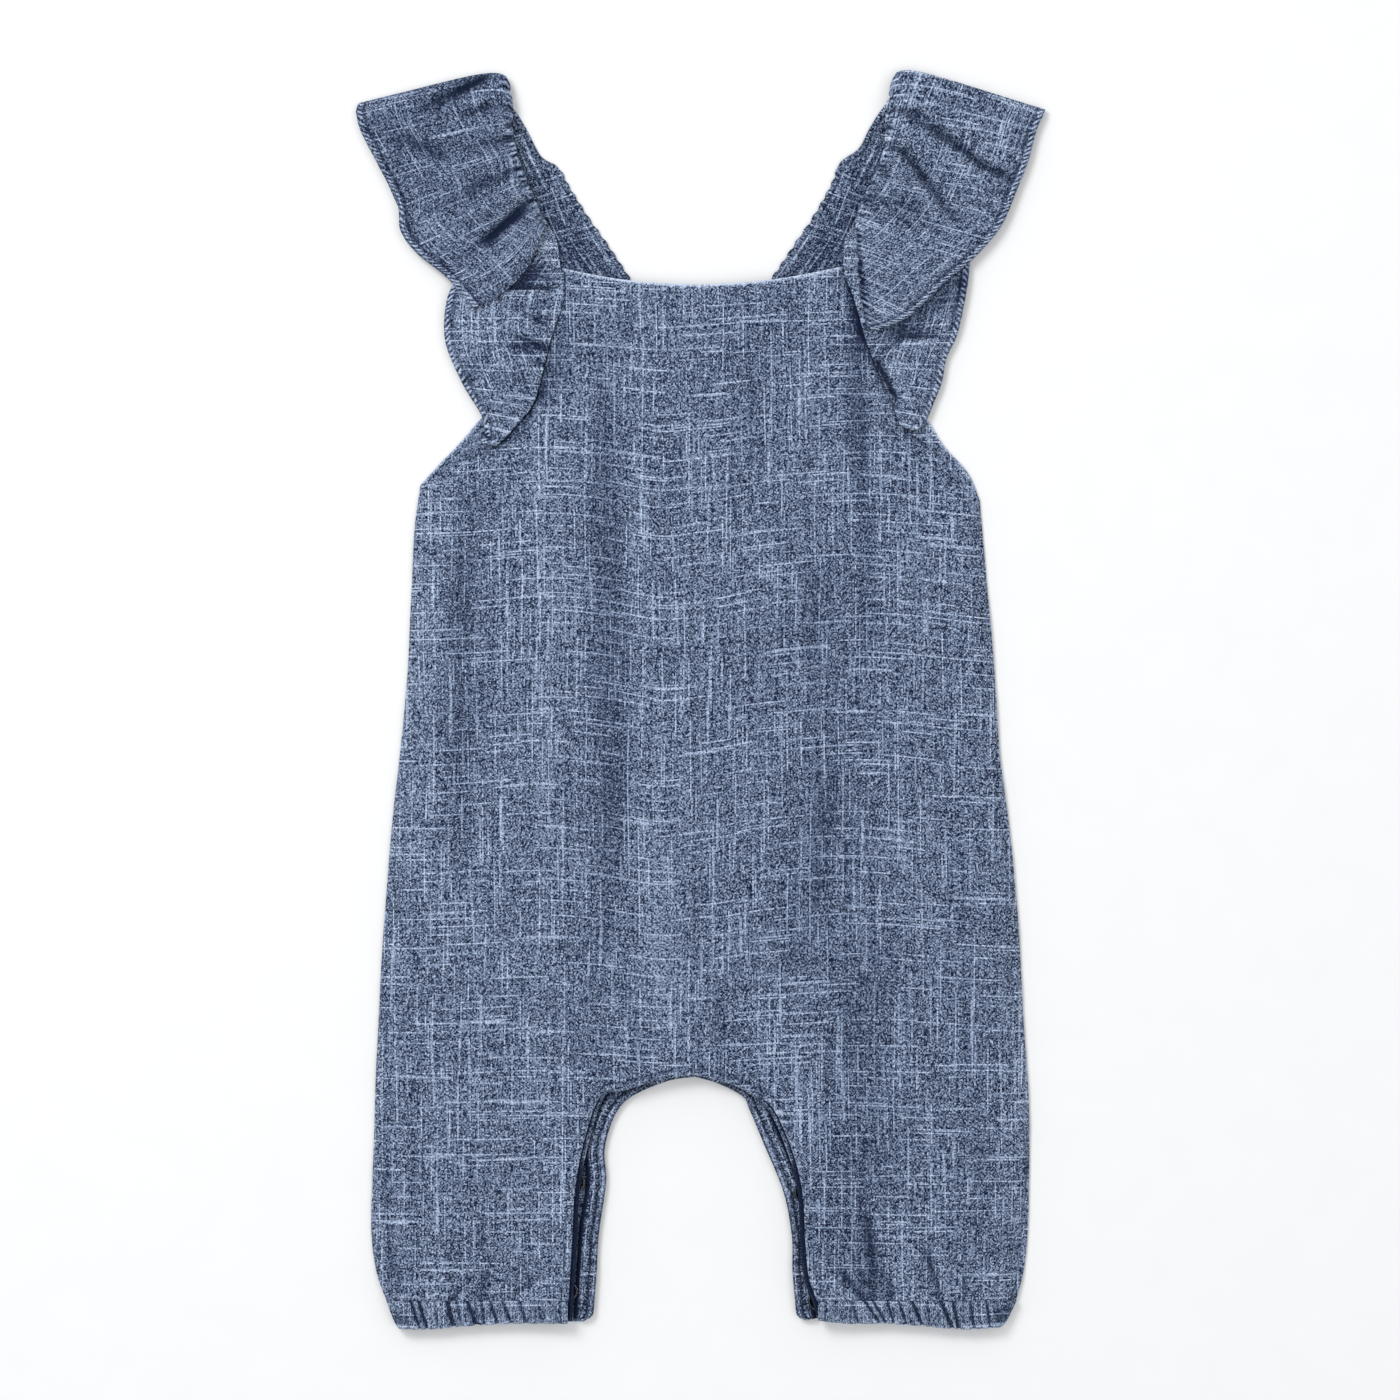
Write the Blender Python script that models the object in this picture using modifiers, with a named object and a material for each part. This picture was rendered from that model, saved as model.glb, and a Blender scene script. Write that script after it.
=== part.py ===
"""Baby dungarees in linen chambray, laid flat on their back.

One-piece front and back panels, a bib with ruffled shoulder straps, elastic leg hems and an inside-leg
opening with snaps. Lengths are in millimetres and become metres when a mesh is made. The garment lies
on z = 0 with its front up, the shoulders towards +Y, and its left side in the picture towards -X.
"""

import math

import bmesh
import bpy
import numpy as np

MM = 0.001

# Driving dimensions, size 62 to 68 laid flat.

# Cloth walls, and the gap that neighbours keep at a seam.
PANEL_WALL = 1.2
TRIM_WALL = 1.0  # ruffles, straps and inside-leg plackets
CASING_WALL = 1.6  # turned hem with its elastic
SEAM = 0.3
LAID = 0.5  # between a panel and a strip that follows its curved inner face

# Heights of the outer face of the front panel over the floor.
BODY_TOP = 5.6
BIB_TOP = 4.6
SIDE_TOP = 2.5  # at the side seams, where the front rolls down to the back
ARMHOLE_TOP = 4.2
SIDE_ROLL = 4.0  # distance over which a side rolls up
PLACKET_LIFT = 1.4  # the front stands over the two plackets along the inside leg
CASING_LIFT = 2.4  # and higher where the hem casings cross them
LIFT_REACH = 13.0
BIB_FALL = (60.0, 140.0)  # y over which the front comes down from the body to the bib
ARMHOLE_RISE = (92.0, 112.0)  # y over which the side edge rises into the armhole
BIB_CALM = (150.0, 168.0)  # y over which creases die out under the bib's top edge

PLACKET_SHOW = 2.0  # width of the front placket seen past the panel's edge
PLACKET_WIDTH = 8.0
PLACKET_RUN = 8.0  # how far a placket runs on below the panel, behind the hem casing
CASING_TOP_Y = -241.1
CASING_RISE = (222.0, 231.0)  # distance below y = 0 over which the layers rise to the casings

SNAP_RADIUS = 4.0
SNAP_THICK = 0.9
SNAP_RIM = 0.3  # rounding of its edge
SNAP_SIDES = 20
SNAP_BITE = 2.3  # how far under the front edge a snap is centred

# Front panel, left half: side x, side y, inner x, inner y. The inner side runs up the inside leg,
# over the crotch and up the middle. The leg, body and bib are separate curves, so corners stay sharp.
FRONT_LEFT = {
    "leg": (
        (-125.6, -240.2, -52.6, -240.2),
        (-129.6, -229.0, -51.9, -229.0),
        (-131.6, -214.0, -51.0, -214.0),
        (-131.4, -196.0, -50.0, -196.0),
        (-130.6, -176.0, -46.4, -176.6),
        (-130.2, -161.0, -39.8, -158.6),
        (-129.8, -148.0, -29.5, -152.8),
        (-129.2, -137.0, -16.0, -149.4),
        (-128.6, -125.0, -2.0, -148.0),
    ),
    "body": (
        (-128.6, -125.0, -2.0, -148.0),
        (-127.6, -105.0, -1.2, -124.0),
        (-125.8, -80.0, -0.6, -95.0),
        (-123.2, -48.0, 0.0, -60.0),
        (-120.0, -20.0, 0.0, -25.0),
        (-117.2, 10.0, 0.0, 10.0),
        (-115.6, 42.0, 0.0, 42.0),
        (-114.4, 68.0, 0.0, 68.0),
        (-112.0, 86.0, 0.0, 88.0),
    ),
    "bib": (
        (-112.0, 86.0, 0.0, 88.0),
        (-98.0, 94.6, 0.0, 101.0),
        (-83.6, 100.6, 0.0, 112.0),
        (-73.0, 111.0, 0.0, 122.0),
        (-66.4, 120.6, 0.0, 131.0),
        (-60.4, 143.6, 0.0, 145.0),
        (-55.2, 160.0, 0.0, 157.0),
        (-55.2, 172.8, 0.0, 166.2),
    ),
}
FRONT_RIGHT = {
    "leg": (
        (124.0, -240.2, 46.8, -240.2),
        (127.0, -229.0, 43.4, -230.0),
        (129.0, -214.0, 42.0, -215.0),
        (130.4, -197.0, 41.0, -197.0),
        (131.8, -180.0, 37.0, -180.6),
        (131.8, -163.0, 29.0, -163.0),
        (131.0, -148.0, 19.0, -153.6),
        (130.2, -137.0, 8.0, -149.6),
        (129.4, -125.0, -2.0, -148.0),
    ),
    "body": (
        (129.4, -125.0, -2.0, -148.0),
        (128.4, -105.0, -1.2, -124.0),
        (126.8, -80.0, -0.6, -95.0),
        (123.8, -50.0, 0.0, -60.0),
        (120.2, -22.0, 0.0, -25.0),
        (118.2, 8.0, 0.0, 10.0),
        (115.4, 41.0, 0.0, 42.0),
        (112.2, 58.0, 0.0, 68.0),
        (112.0, 76.0, 0.0, 88.0),
    ),
    "bib": (
        (112.0, 76.0, 0.0, 88.0),
        (103.2, 89.0, 0.0, 101.0),
        (92.0, 101.4, 0.0, 112.0),
        (81.6, 108.8, 0.0, 122.0),
        (77.2, 119.4, 0.0, 131.0),
        (68.0, 141.0, 0.0, 145.0),
        (62.6, 159.0, 0.0, 157.0),
        (57.2, 173.6, 0.0, 166.2),
    ),
}
BIB_SAG = 1.7  # the bib's top edge dips below the straight line from its corner to the middle
BIB_SAG_RISE = (152.0, 166.0)  # y over which the dip grows to that
FRONT_STEPS = {"leg": 12, "body": 12, "bib": 10}
# Share of the way from the side to the inner edge, closer together where the side rolls down.
FRONT_COLUMNS = (0, 0.012, 0.03, 0.06, 0.11, 0.17, 0.24, 0.32, 0.41, 0.5, 0.6, 0.7, 0.8, 0.9, 0.96, 1)

# Back panel: the same columns. Its inside legs reach past the front, and its bib is lower.
BACK_LEFT = {
    "leg": (
        (-125.6, -240.2, -42.2, -240.2),
        (-129.6, -229.0, -41.4, -229.0),
        (-131.6, -214.0, -40.4, -213.0),
        (-131.4, -196.0, -37.6, -193.0),
        (-130.6, -176.0, -38.2, -180.0),
        (-130.2, -161.0, -34.2, -166.6),
        (-129.8, -148.0, -27.4, -158.8),
        (-129.2, -137.0, -13.0, -152.6),
        (-128.6, -125.0, -2.0, -150.8),
    ),
    "body": (
        (-128.6, -125.0, -2.0, -150.8),
        (-125.8, -80.0, -0.6, -95.0),
        (-120.0, -20.0, 0.0, -25.0),
        (-117.2, 10.0, 0.0, 10.0),
        (-115.6, 42.0, 0.0, 42.0),
        (-112.0, 86.0, 0.0, 86.0),
    ),
    "bib": (
        (-112.0, 86.0, 0.0, 86.0),
        (-105.0, 93.8, 0.0, 95.0),
        (-96.0, 103.2, 0.0, 104.0),
        (-87.8, 112.8, 0.0, 113.0),
        (-80.0, 121.0, 0.0, 121.0),
        (-62.0, 132.0, 0.0, 132.0),
        (-38.0, 140.7, 0.0, 140.7),
    ),
}
BACK_RIGHT = {
    "leg": (
        (126.6, -240.2, 38.0, -240.2),
        (129.6, -229.0, 37.0, -228.0),
        (131.2, -214.0, 36.8, -215.0),
        (131.8, -196.0, 33.4, -197.0),
        (132.0, -180.0, 25.4, -177.4),
        (131.8, -163.0, 19.8, -164.0),
        (131.0, -148.0, 17.0, -158.6),
        (130.2, -137.0, 7.4, -153.6),
        (129.4, -125.0, -2.0, -150.8),
    ),
    "body": (
        (129.4, -125.0, -2.0, -150.8),
        (126.8, -80.0, -0.6, -95.0),
        (120.2, -22.0, 0.0, -25.0),
        (118.2, 8.0, 0.0, 10.0),
        (115.4, 41.0, 0.0, 42.0),
        (112.0, 80.0, 0.0, 86.0),
    ),
    "bib": (
        (112.0, 80.0, 0.0, 86.0),
        (107.4, 91.0, 0.0, 95.0),
        (98.0, 101.6, 0.0, 104.0),
        (90.8, 112.8, 0.0, 113.0),
        (82.4, 121.4, 0.0, 121.4),
        (62.0, 132.0, 0.0, 132.0),
        (38.0, 140.7, 0.0, 140.7),
    ),
}
BACK_STEPS = {"leg": 16, "body": 7, "bib": 12}
BACK_COLUMNS = (0, 0.2, 0.4, 0.6, 0.8, 1)

# Soft ridges (+) and troughs (-): start x, start y, end x, end y, width, height, lean.
# Lean under 1 makes the side to the right of the run steeper. A crease holds its full height over
# this share of its run on each side of the middle, then fades over this share and its own width.
CREASE_HOLD = 0.35
CREASE_FADE = 0.15
CREASE_HUSH = (0.9, 0.6)  # share of it taken off over the plackets, and under the bib's top edge
BODY_CREASES = (
    (-58, 104, -61, -70, 9, 1.2, 1),
    (-40, 108, -42, -100, 8, -1.2, 1),
    (-88, 84, -93, -80, 7, -1.1, 1),
    (-104, 40, -110, -120, 6, 0.7, 1),
    (16, 150, 10, -60, 14, 0.7, 1),
    (46, 120, 50, -40, 9, -1.0, 1),
    (75, 104, 82, -90, 10, 1.1, 1),
    (98, 60, 104, -110, 7, -0.8, 1),
    (-30, -150, -18, -96, 6, 0.9, 1),
    (22, -152, 14, -100, 6, 0.8, 1),
    (-88, -120, -84, -215, 9, 0.8, 1),
    (84, -120, 92, -215, 9, 0.9, 1),
    (-101, -242, -91, -218, 3.6, -1.0, 1),
    (-76, -240, -67, -228, 4, -0.9, 1),
    (-112, -240, -112, -230, 3.4, -0.8, 1),
    (91, -222, 94, -240, 3.6, -1.1, 1),
    (56, -229, 65, -242, 3.8, -0.9, 1),
    (110, -228, 112, -241, 3.4, -0.8, 1),
)

# Ruffles, from the lower fold up to the shoulder, round it and down the back. Columns: gathered edge
# x, y, z, hemmed edge x, y, z, bow of the line between them and how far the bow leans to the gathers.
RUFFLE_LEFT = {
    "front": (
        (-62.6, 188.6, 6.2, -90.8, 156.4, 5.0, -5.8, 1.0),
        (-63.8, 194.0, 6.4, -100.8, 168.4, 4.6, -3.0, 1.0),
        (-66.4, 201.0, 6.3, -113.6, 179.0, 4.2, 0.0, 1.0),
        (-69.6, 208.5, 6.3, -119.9, 188.0, 3.9, 0.0, 1.0),
        (-72.6, 216.5, 6.2, -121.2, 198.6, 3.7, 0.0, 0.8),
        (-75.0, 226.0, 6.0, -128.8, 214.0, 3.5, 1.0, 0.6),
        (-75.0, 236.0, 5.8, -135.8, 227.6, 3.4, 3.2, 0.5),
        (-75.8, 243.8, 5.2, -137.8, 236.2, 3.2, 4.6, 0.4),
    ),
    "fold": (
        (-75.8, 243.8, 5.2, -137.8, 236.2, 3.2, 4.6, 0.4),
        (-76.6, 247.0, 3.6, -138.2, 238.8, 2.2, 4.6, 0.38),
        (-78.2, 247.4, 1.2, -138.0, 239.2, 0.9, 4.6, 0.38),
        (-82.0, 245.4, 0.0, -137.2, 237.4, 0.0, 5.0, 0.4),
    ),
    "back": (
        (-82.0, 245.4, 0.0, -137.2, 237.4, 0.0, 5.0, 0.4),
        (-92.0, 236.0, 0.0, -134.4, 229.0, 0.0, 3.0, 0.6),
        (-87.6, 222.0, 0.0, -127.6, 213.0, 0.0, 0.0, 1.0),
        (-78.4, 203.0, 0.0, -117.4, 191.0, 0.0, 0.0, 1.0),
        (-72.4, 188.0, 0.0, -104.0, 175.0, 0.0, 0.0, 1.0),
    ),
}
RUFFLE_RIGHT = {
    "front": (
        (67.4, 149.4, 6.1, 70.6, 147.4, 6.0, 0.0, 1.0),
        (64.4, 163.0, 6.2, 84.0, 153.6, 5.5, -0.6, 1.0),
        (63.2, 178.0, 6.4, 98.0, 166.8, 5.0, -0.8, 1.0),
        (62.8, 192.0, 6.4, 109.8, 177.0, 4.4, -0.6, 1.0),
        (67.4, 204.8, 6.2, 120.4, 189.4, 4.0, 0.0, 1.0),
        (71.8, 214.0, 6.4, 126.8, 204.0, 3.7, 0.0, 0.8),
        (74.2, 224.0, 6.3, 131.4, 215.6, 3.5, 1.0, 0.6),
        (74.6, 236.0, 6.0, 134.6, 227.6, 3.4, 2.5, 0.5),
        (76.2, 245.0, 5.2, 137.4, 234.0, 3.2, 4.4, 0.42),
    ),
    "fold": (
        (76.2, 245.0, 5.2, 137.4, 234.0, 3.2, 4.4, 0.42),
        (77.4, 248.6, 3.6, 138.2, 236.2, 2.2, 4.4, 0.38),
        (79.0, 248.8, 1.2, 138.0, 236.4, 0.9, 4.4, 0.38),
        (82.6, 246.0, 0.0, 137.0, 234.6, 0.0, 4.4, 0.42),
    ),
    "back": (
        (82.6, 246.0, 0.0, 137.0, 234.6, 0.0, 4.4, 0.42),
        (92.4, 236.0, 0.0, 133.4, 226.0, 0.0, 3.0, 0.6),
        (87.8, 222.0, 0.0, 129.4, 214.0, 0.0, 0.0, 1.0),
        (78.6, 203.0, 0.0, 120.0, 194.0, 0.0, 0.0, 1.0),
        (72.6, 188.0, 0.0, 108.0, 179.0, 0.0, 0.0, 1.0),
    ),
}
RUFFLE_STEPS = {"front": 24, "fold": 5, "back": 6}
RUFFLE_COLUMNS = (0, 0.05, 0.12, 0.2, 0.3, 0.4, 0.52, 0.65, 0.78, 0.9, 1)
RUFFLE_WAKE = (2.2, 3.2)  # heights over which its creases begin, so that the back stays flat
RUFFLE_LEFT_CREASES = (
    (-87, 249, -112, 236, 2.6, -1.1, 1),
    (-84, 243, -110, 231, 3.4, 0.9, 1),
    (-78, 238.5, -94, 234, 2.2, -1.0, 1),
    (-76, 232, -96, 227, 2.2, 0.9, 1),
    (-75, 224, -90, 221, 2.0, -0.9, 1),
    (-74, 219, -104, 211, 3.0, 1.0, 1),
    (-72, 212, -94, 204, 2.4, -1.0, 1),
    (-69, 205, -98, 192, 3.2, 1.9, 0.5),
    (-67, 199, -90, 182, 2.6, -1.4, 1),
    (-64, 192, -92, 168, 4.2, 1.2, 1),
    (-104, 218, -120, 224, 3.4, -0.7, 1),
)
RUFFLE_RIGHT_CREASES = (
    (79, 243, 118, 226, 4.0, 0.8, 1),
    (80, 236, 124, 208, 2.4, -1.5, 1),
    (78, 231, 116, 207, 3.2, 1.2, 0.6),
    (77, 226, 104, 191, 2.2, -1.6, 1),
    (74, 219, 98, 188, 3.2, 1.3, 0.6),
    (72, 212, 84, 194, 2.2, -1.2, 1),
    (68, 204, 80, 186, 3.0, 1.0, 1),
    (66, 200, 72, 192, 1.8, -0.8, 1),
    (64, 188, 66, 160, 2.2, -0.8, 1),
    (72, 180, 92, 166, 5.0, 0.6, 1),
)

# Lower stretches of the ruffles, beside the bib, from the hidden top down. Columns: y and z at the
# seam along the bib's edge, then x, y, z at the hem.
TAIL_LEFT = (
    (171.0, 4.2, -96.0, 171.0, 3.6),
    (160.0, 4.2, -101.4, 160.0, 3.3),
    (143.6, 4.5, -102.0, 143.6, 2.9),
    (125.0, 4.7, -95.8, 128.0, 2.8),
    (117.6, 4.6, -91.8, 121.0, 2.8),
    (110.8, 4.4, -87.6, 114.0, 2.9),
    (104.6, 4.3, -84.8, 108.0, 3.2),
    (101.6, 4.2, -85.6, 102.8, 3.6),
)
TAIL_RIGHT = (
    (172.0, 4.5, 108.2, 176.0, 3.0),
    (160.0, 4.1, 106.8, 164.0, 3.2),
    (146.0, 4.2, 103.2, 147.0, 2.9),
    (137.0, 4.6, 98.8, 137.0, 2.8),
    (129.4, 4.7, 96.8, 127.0, 2.8),
    (122.4, 4.6, 93.8, 119.4, 2.9),
    (114.6, 4.4, 90.8, 112.4, 3.1),
    (109.4, 4.3, 86.6, 107.6, 3.6),
)
TAIL_SEAM = 1.1  # sideways gap that keeps the seam clear of the bib's slanting edge
TAIL_STEPS = 18
TAIL_COLUMNS = (0, 0.08, 0.2, 0.35, 0.5, 0.65, 0.8, 0.92, 1)
TAIL_CREASES = (
    (-64, 148, -78, 150, 2.4, 0.7, 1),
    (-64, 142, -76, 141, 2.0, -0.8, 1),
    (-67, 134, -84, 138, 2.6, 0.7, 1),
    (-68, 126, -80, 131, 2.2, -0.7, 1),
    (-74, 118, -86, 124, 2.6, 0.5, 1),
    (70, 136, 78, 121, 2.4, -0.8, 1),
    (78, 140, 96, 144, 3.0, 0.6, 1),
    (80, 147, 98, 146, 2.2, -0.7, 1),
    (76, 132, 88, 112, 3.0, 0.6, 1),
)

# Straps: armhole edge x, y, neck edge x, y, height of the outer face, bow, lean. From the bib's
# corner up to the shoulder, round the fold and down the back to the back bib.
STRAP_LEFT = {
    "front": (
        (-66.0, 165.0, -54.4, 165.4, 2.7, 0.0, 1.0),
        (-68.0, 174.0, -56.0, 174.0, 2.7, 0.0, 1.0),
        (-70.0, 184.0, -57.6, 184.6, 2.7, 0.0, 1.0),
        (-73.0, 193.0, -61.6, 191.4, 2.7, 0.0, 1.0),
        (-78.0, 204.0, -67.0, 200.4, 2.7, 0.0, 1.0),
        (-84.0, 217.0, -73.0, 214.0, 2.7, 0.0, 1.0),
        (-88.6, 232.0, -76.6, 236.4, 2.7, 0.0, 1.0),
    ),
    "fold": (
        (-88.6, 232.0, -76.6, 236.4, 2.7, 0.0, 1.0),
        (-88.8, 233.6, -76.2, 238.0, 2.2, 0.0, 1.0),
        (-89.0, 234.4, -75.9, 238.8, 1.35, 0.0, 1.0),
        (-89.0, 233.8, -75.6, 238.4, 0.4, 0.0, 1.0),
        (-88.9, 232.6, -75.0, 237.4, 0.0, 0.0, 1.0),
    ),
    "back": (
        (-88.9, 232.6, -75.0, 237.4, 0.0, 0.0, 1.0),
        (-85.6, 223.0, -69.6, 228.0, 0.0, 0.0, 1.0),
        (-81.0, 212.0, -64.0, 217.6, 0.0, 0.0, 1.0),
        (-77.6, 205.0, -57.0, 213.0, 0.0, 0.0, 1.0),
        (-74.4, 198.0, -52.8, 205.6, 0.0, 0.0, 1.0),
        (-70.0, 186.0, -44.8, 192.8, 0.0, 0.0, 1.0),
        (-65.5, 177.0, -38.8, 184.4, 0.0, 0.0, 1.0),
        (-56.0, 163.0, -30.0, 171.2, 0.0, 0.0, 1.0),
        (-46.0, 151.0, -20.0, 155.5, 0.0, 0.0, 1.0),
        (-37.0, 141.1, -10.0, 141.1, 0.0, 0.0, 1.0),
    ),
}
STRAP_RIGHT = {
    "front": (
        (68.0, 165.4, 56.2, 165.8, 2.7, 0.0, 1.0),
        (69.0, 174.0, 57.4, 174.6, 2.7, 0.0, 1.0),
        (70.6, 184.0, 58.2, 184.6, 2.7, 0.0, 1.0),
        (73.4, 193.0, 61.8, 191.4, 2.7, 0.0, 1.0),
        (78.4, 204.0, 67.2, 201.6, 2.7, 0.0, 1.0),
        (84.4, 217.0, 73.4, 214.6, 2.7, 0.0, 1.0),
        (89.0, 232.0, 77.0, 236.4, 2.7, 0.0, 1.0),
    ),
    "fold": (
        (89.0, 232.0, 77.0, 236.4, 2.7, 0.0, 1.0),
        (89.2, 233.6, 76.6, 238.6, 2.2, 0.0, 1.0),
        (89.4, 234.4, 76.2, 239.8, 1.35, 0.0, 1.0),
        (89.4, 233.8, 75.8, 239.2, 0.4, 0.0, 1.0),
        (89.3, 232.6, 74.2, 238.6, 0.0, 0.0, 1.0),
    ),
    "back": (
        (89.3, 232.6, 74.2, 238.6, 0.0, 0.0, 1.0),
        (86.0, 223.0, 68.0, 228.4, 0.0, 0.0, 1.0),
        (81.4, 212.0, 63.8, 220.6, 0.0, 0.0, 1.0),
        (78.0, 205.0, 56.4, 215.0, 0.0, 0.0, 1.0),
        (74.6, 198.0, 53.0, 206.6, 0.0, 0.0, 1.0),
        (70.2, 186.0, 46.0, 194.0, 0.0, 0.0, 1.0),
        (65.7, 177.0, 39.8, 184.8, 0.0, 0.0, 1.0),
        (56.2, 163.0, 31.2, 172.0, 0.0, 0.0, 1.0),
        (46.0, 151.0, 20.0, 156.0, 0.0, 0.0, 1.0),
        (37.0, 141.1, 10.0, 141.1, 0.0, 0.0, 1.0),
    ),
}
STRAP_STEPS = {"front": 8, "fold": 6, "back": 13}
STRAP_COLUMNS = (0, 0.33, 0.67, 1)

# Leg hem casings: x, top y, bottom y along the front, from the inside leg to the side.
CASING_LEFT = (
    (-52.9, CASING_TOP_Y, -249.0),
    (-62.0, CASING_TOP_Y, -249.0),
    (-76.0, CASING_TOP_Y, -249.2),
    (-94.0, CASING_TOP_Y, -250.2),
    (-108.0, CASING_TOP_Y, -251.4),
    (-117.2, CASING_TOP_Y, -251.4),
)
CASING_RIGHT = (
    (47.2, CASING_TOP_Y, -247.6),
    (58.0, CASING_TOP_Y, -249.0),
    (74.0, CASING_TOP_Y, -249.2),
    (88.0, CASING_TOP_Y, -250.0),
    (104.0, CASING_TOP_Y, -251.4),
    (118.0, CASING_TOP_Y, -250.8),
)
CASING_STEPS = {"front": 46, "side": 6, "back": 26}
CASING_ROWS = (0, 0.12, 0.5, 0.88, 1)
CASING_SIDE_X = {"left": (-125.6, -120.0), "right": (126.8, 120.6)}  # outline at its top and bottom
CASING_BACK_X = {"left": -43.0, "right": 39.0}
CASING_PUFF = 0.5
HEM_SCALLOP = 0.5  # share of a pucker that moves the hem's edge in the plane
SEAM_PUCKER = 0.35  # share of puff and puckers at the casing's edges
GATHER_DEPTH = 0.55
GATHER_WIDTH = 1.3
GATHERS_LEFT = (-114.6, -111.0, -107.2, -99.6, -92.4, -90.4, -86.4, -82.4, -76.8, -70.8, -63.0, -57.0)
GATHERS_RIGHT = (55.0, 62.0, 68.0, 72.0, 77.2, 81.2, 87.6, 93.2, 98.8, 102.4, 107.0, 111.6, 115.4)

# Snaps: y of each along the left and right inside legs.
SNAP_YS = {"left": (-193.0, -236.4), "right": (-197.2, -240.4)}

BLUE = (0.105, 0.165, 0.285)
BLUE_INSIDE = (0.075, 0.125, 0.225)
GUNMETAL = (0.16, 0.14, 0.11)


def smooth(rows, steps):
    """steps + 1 evenly numbered points of a Catmull-Rom curve through the rows of a table."""
    table = np.array(rows, float)
    table = np.vstack([2 * table[0] - table[1], table, 2 * table[-1] - table[-2]])
    at = np.linspace(0, len(rows) - 1, steps + 1)
    start = np.minimum(at.astype(int), len(rows) - 2)
    t = (at - start)[:, None]
    a, b, c, d = (table[start + k] for k in range(4))
    return b + 0.5 * t * (c - a + t * (2 * a - 5 * b + 4 * c - d + t * (3 * b - a - 3 * c + d)))


def chain(sections, steps):
    """The sections of a table as one curve, with a corner allowed where two sections meet."""
    parts = [smooth(sections[name], steps[name]) for name in steps]
    return np.vstack([parts[0]] + [part[1:] for part in parts[1:]])


def creases(table, x, y):
    """Height that soft ridges and troughs add at x, y. Each fades out past its two ends."""
    height = np.zeros_like(x)
    for x0, y0, x1, y1, width, rise, lean in table:
        run = math.hypot(x1 - x0, y1 - y0)
        along = ((x - x0) * (x1 - x0) + (y - y0) * (y1 - y0)) / run
        off = ((x - x0) * (y1 - y0) - (y - y0) * (x1 - x0)) / run
        past = np.maximum(np.abs(along - run / 2) - CREASE_HOLD * run, 0) / (CREASE_FADE * run + width)
        reach = np.where(off > 0, width * lean, width)
        height += rise * np.exp(-((off / reach) ** 2) - past**2)
    return height


def distance(x, y, path):
    """Distance from each x, y to the nearest of a path's points."""
    gap = np.hypot(x[..., None] - path[:, 0], y[..., None] - path[:, 1])
    return gap.min(axis=-1)


def step(x, start, end):
    """0 before start, 1 past end, and a smooth rise between them."""
    t = np.clip((x - start) / (end - start), 0, 1)
    return t * t * (3 - 2 * t)


FINE = {"leg": 60, "body": 60, "bib": 40}
FRONT_SIDES = np.vstack([chain(half, FINE)[:, :2] for half in (FRONT_LEFT, FRONT_RIGHT)])
FRONT_INSIDE = np.vstack([smooth(half["leg"], 80)[:, 2:] for half in (FRONT_LEFT, FRONT_RIGHT)])


def front_top(x, y):
    """Height of the outer face of the front panel, and of the hem casings that carry it on."""
    full = BODY_TOP + (BIB_TOP - BODY_TOP) * step(y, *BIB_FALL)
    edge = SIDE_TOP + (ARMHOLE_TOP - SIDE_TOP) * step(y, *ARMHOLE_RISE)
    roll = 1 - np.exp(-distance(x, y, FRONT_SIDES) / SIDE_ROLL)
    near = np.exp(-((distance(x, y, FRONT_INSIDE) / LIFT_REACH) ** 2))
    lift = PLACKET_LIFT + (CASING_LIFT - PLACKET_LIFT) * step(-y, *CASING_RISE)
    calm = 1 - CREASE_HUSH[0] * near - CREASE_HUSH[1] * step(y, *BIB_CALM)
    folds = creases(BODY_CREASES, x, y) * roll * np.clip(calm, 0, 1)
    return edge + (full - edge) * roll + lift * near * roll + folds


def grid(bm, points, flip=False):
    """Adds a rows x columns x 3 array of points in millimetres as a sheet of quads."""
    rows, columns = points.shape[:2]
    verts = [[bm.verts.new(p * MM) for p in row] for row in points]
    for j in range(rows - 1):
        for i in range(columns - 1):
            loop = (verts[j][i], verts[j][i + 1], verts[j + 1][i + 1], verts[j + 1][i])
            bm.faces.new(reversed(loop) if flip else loop)


def material(name, colour, roughness, metallic):
    mat = bpy.data.materials.new(name)
    mat.use_nodes = True
    shader = mat.node_tree.nodes["Principled BSDF"]
    shader.inputs["Base Color"].default_value = (*colour, 1)
    shader.inputs["Roughness"].default_value = roughness
    shader.inputs["Metallic"].default_value = metallic
    return mat


def cloth(name, sheets, wall, colour=BLUE):
    """An object from open sheets that share edges, thickened away from the side their faces show."""
    bm = bmesh.new()
    for points, flip in sheets:
        grid(bm, points, flip)
    bmesh.ops.remove_doubles(bm, verts=bm.verts, dist=0.01 * MM)
    mesh = bpy.data.meshes.new(name)
    bm.to_mesh(mesh)
    bm.free()
    mesh.shade_smooth()
    mesh.materials.append(material(name, colour, 0.85, 0))
    obj = bpy.data.objects.new(name, mesh)
    wall_made = obj.modifiers.new("Wall", "SOLIDIFY")
    wall_made.thickness = wall * MM
    wall_made.offset = -1
    garment.objects.link(obj)
    return obj


def panel_half(sections, steps, columns):
    """x and y of one half of a panel, with rows ruled between the side and the inner edge."""
    edges = chain(sections, steps)
    share = np.array(columns)[None, :, None]
    return edges[:, None, :2] * (1 - share) + edges[:, None, 2:] * share


def make_front():
    sheets = []
    for half, flip in ((FRONT_LEFT, False), (FRONT_RIGHT, True)):
        flat = panel_half(half, FRONT_STEPS, FRONT_COLUMNS)
        dip = np.sin(math.pi * np.array(FRONT_COLUMNS)) * BIB_SAG
        flat[..., 1] -= dip * step(flat[..., 1], *BIB_SAG_RISE)
        top = front_top(flat[..., 0], flat[..., 1])
        sheets.append((np.dstack([flat, top]), flip))
    cloth("front_panel", sheets, PANEL_WALL)


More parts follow.
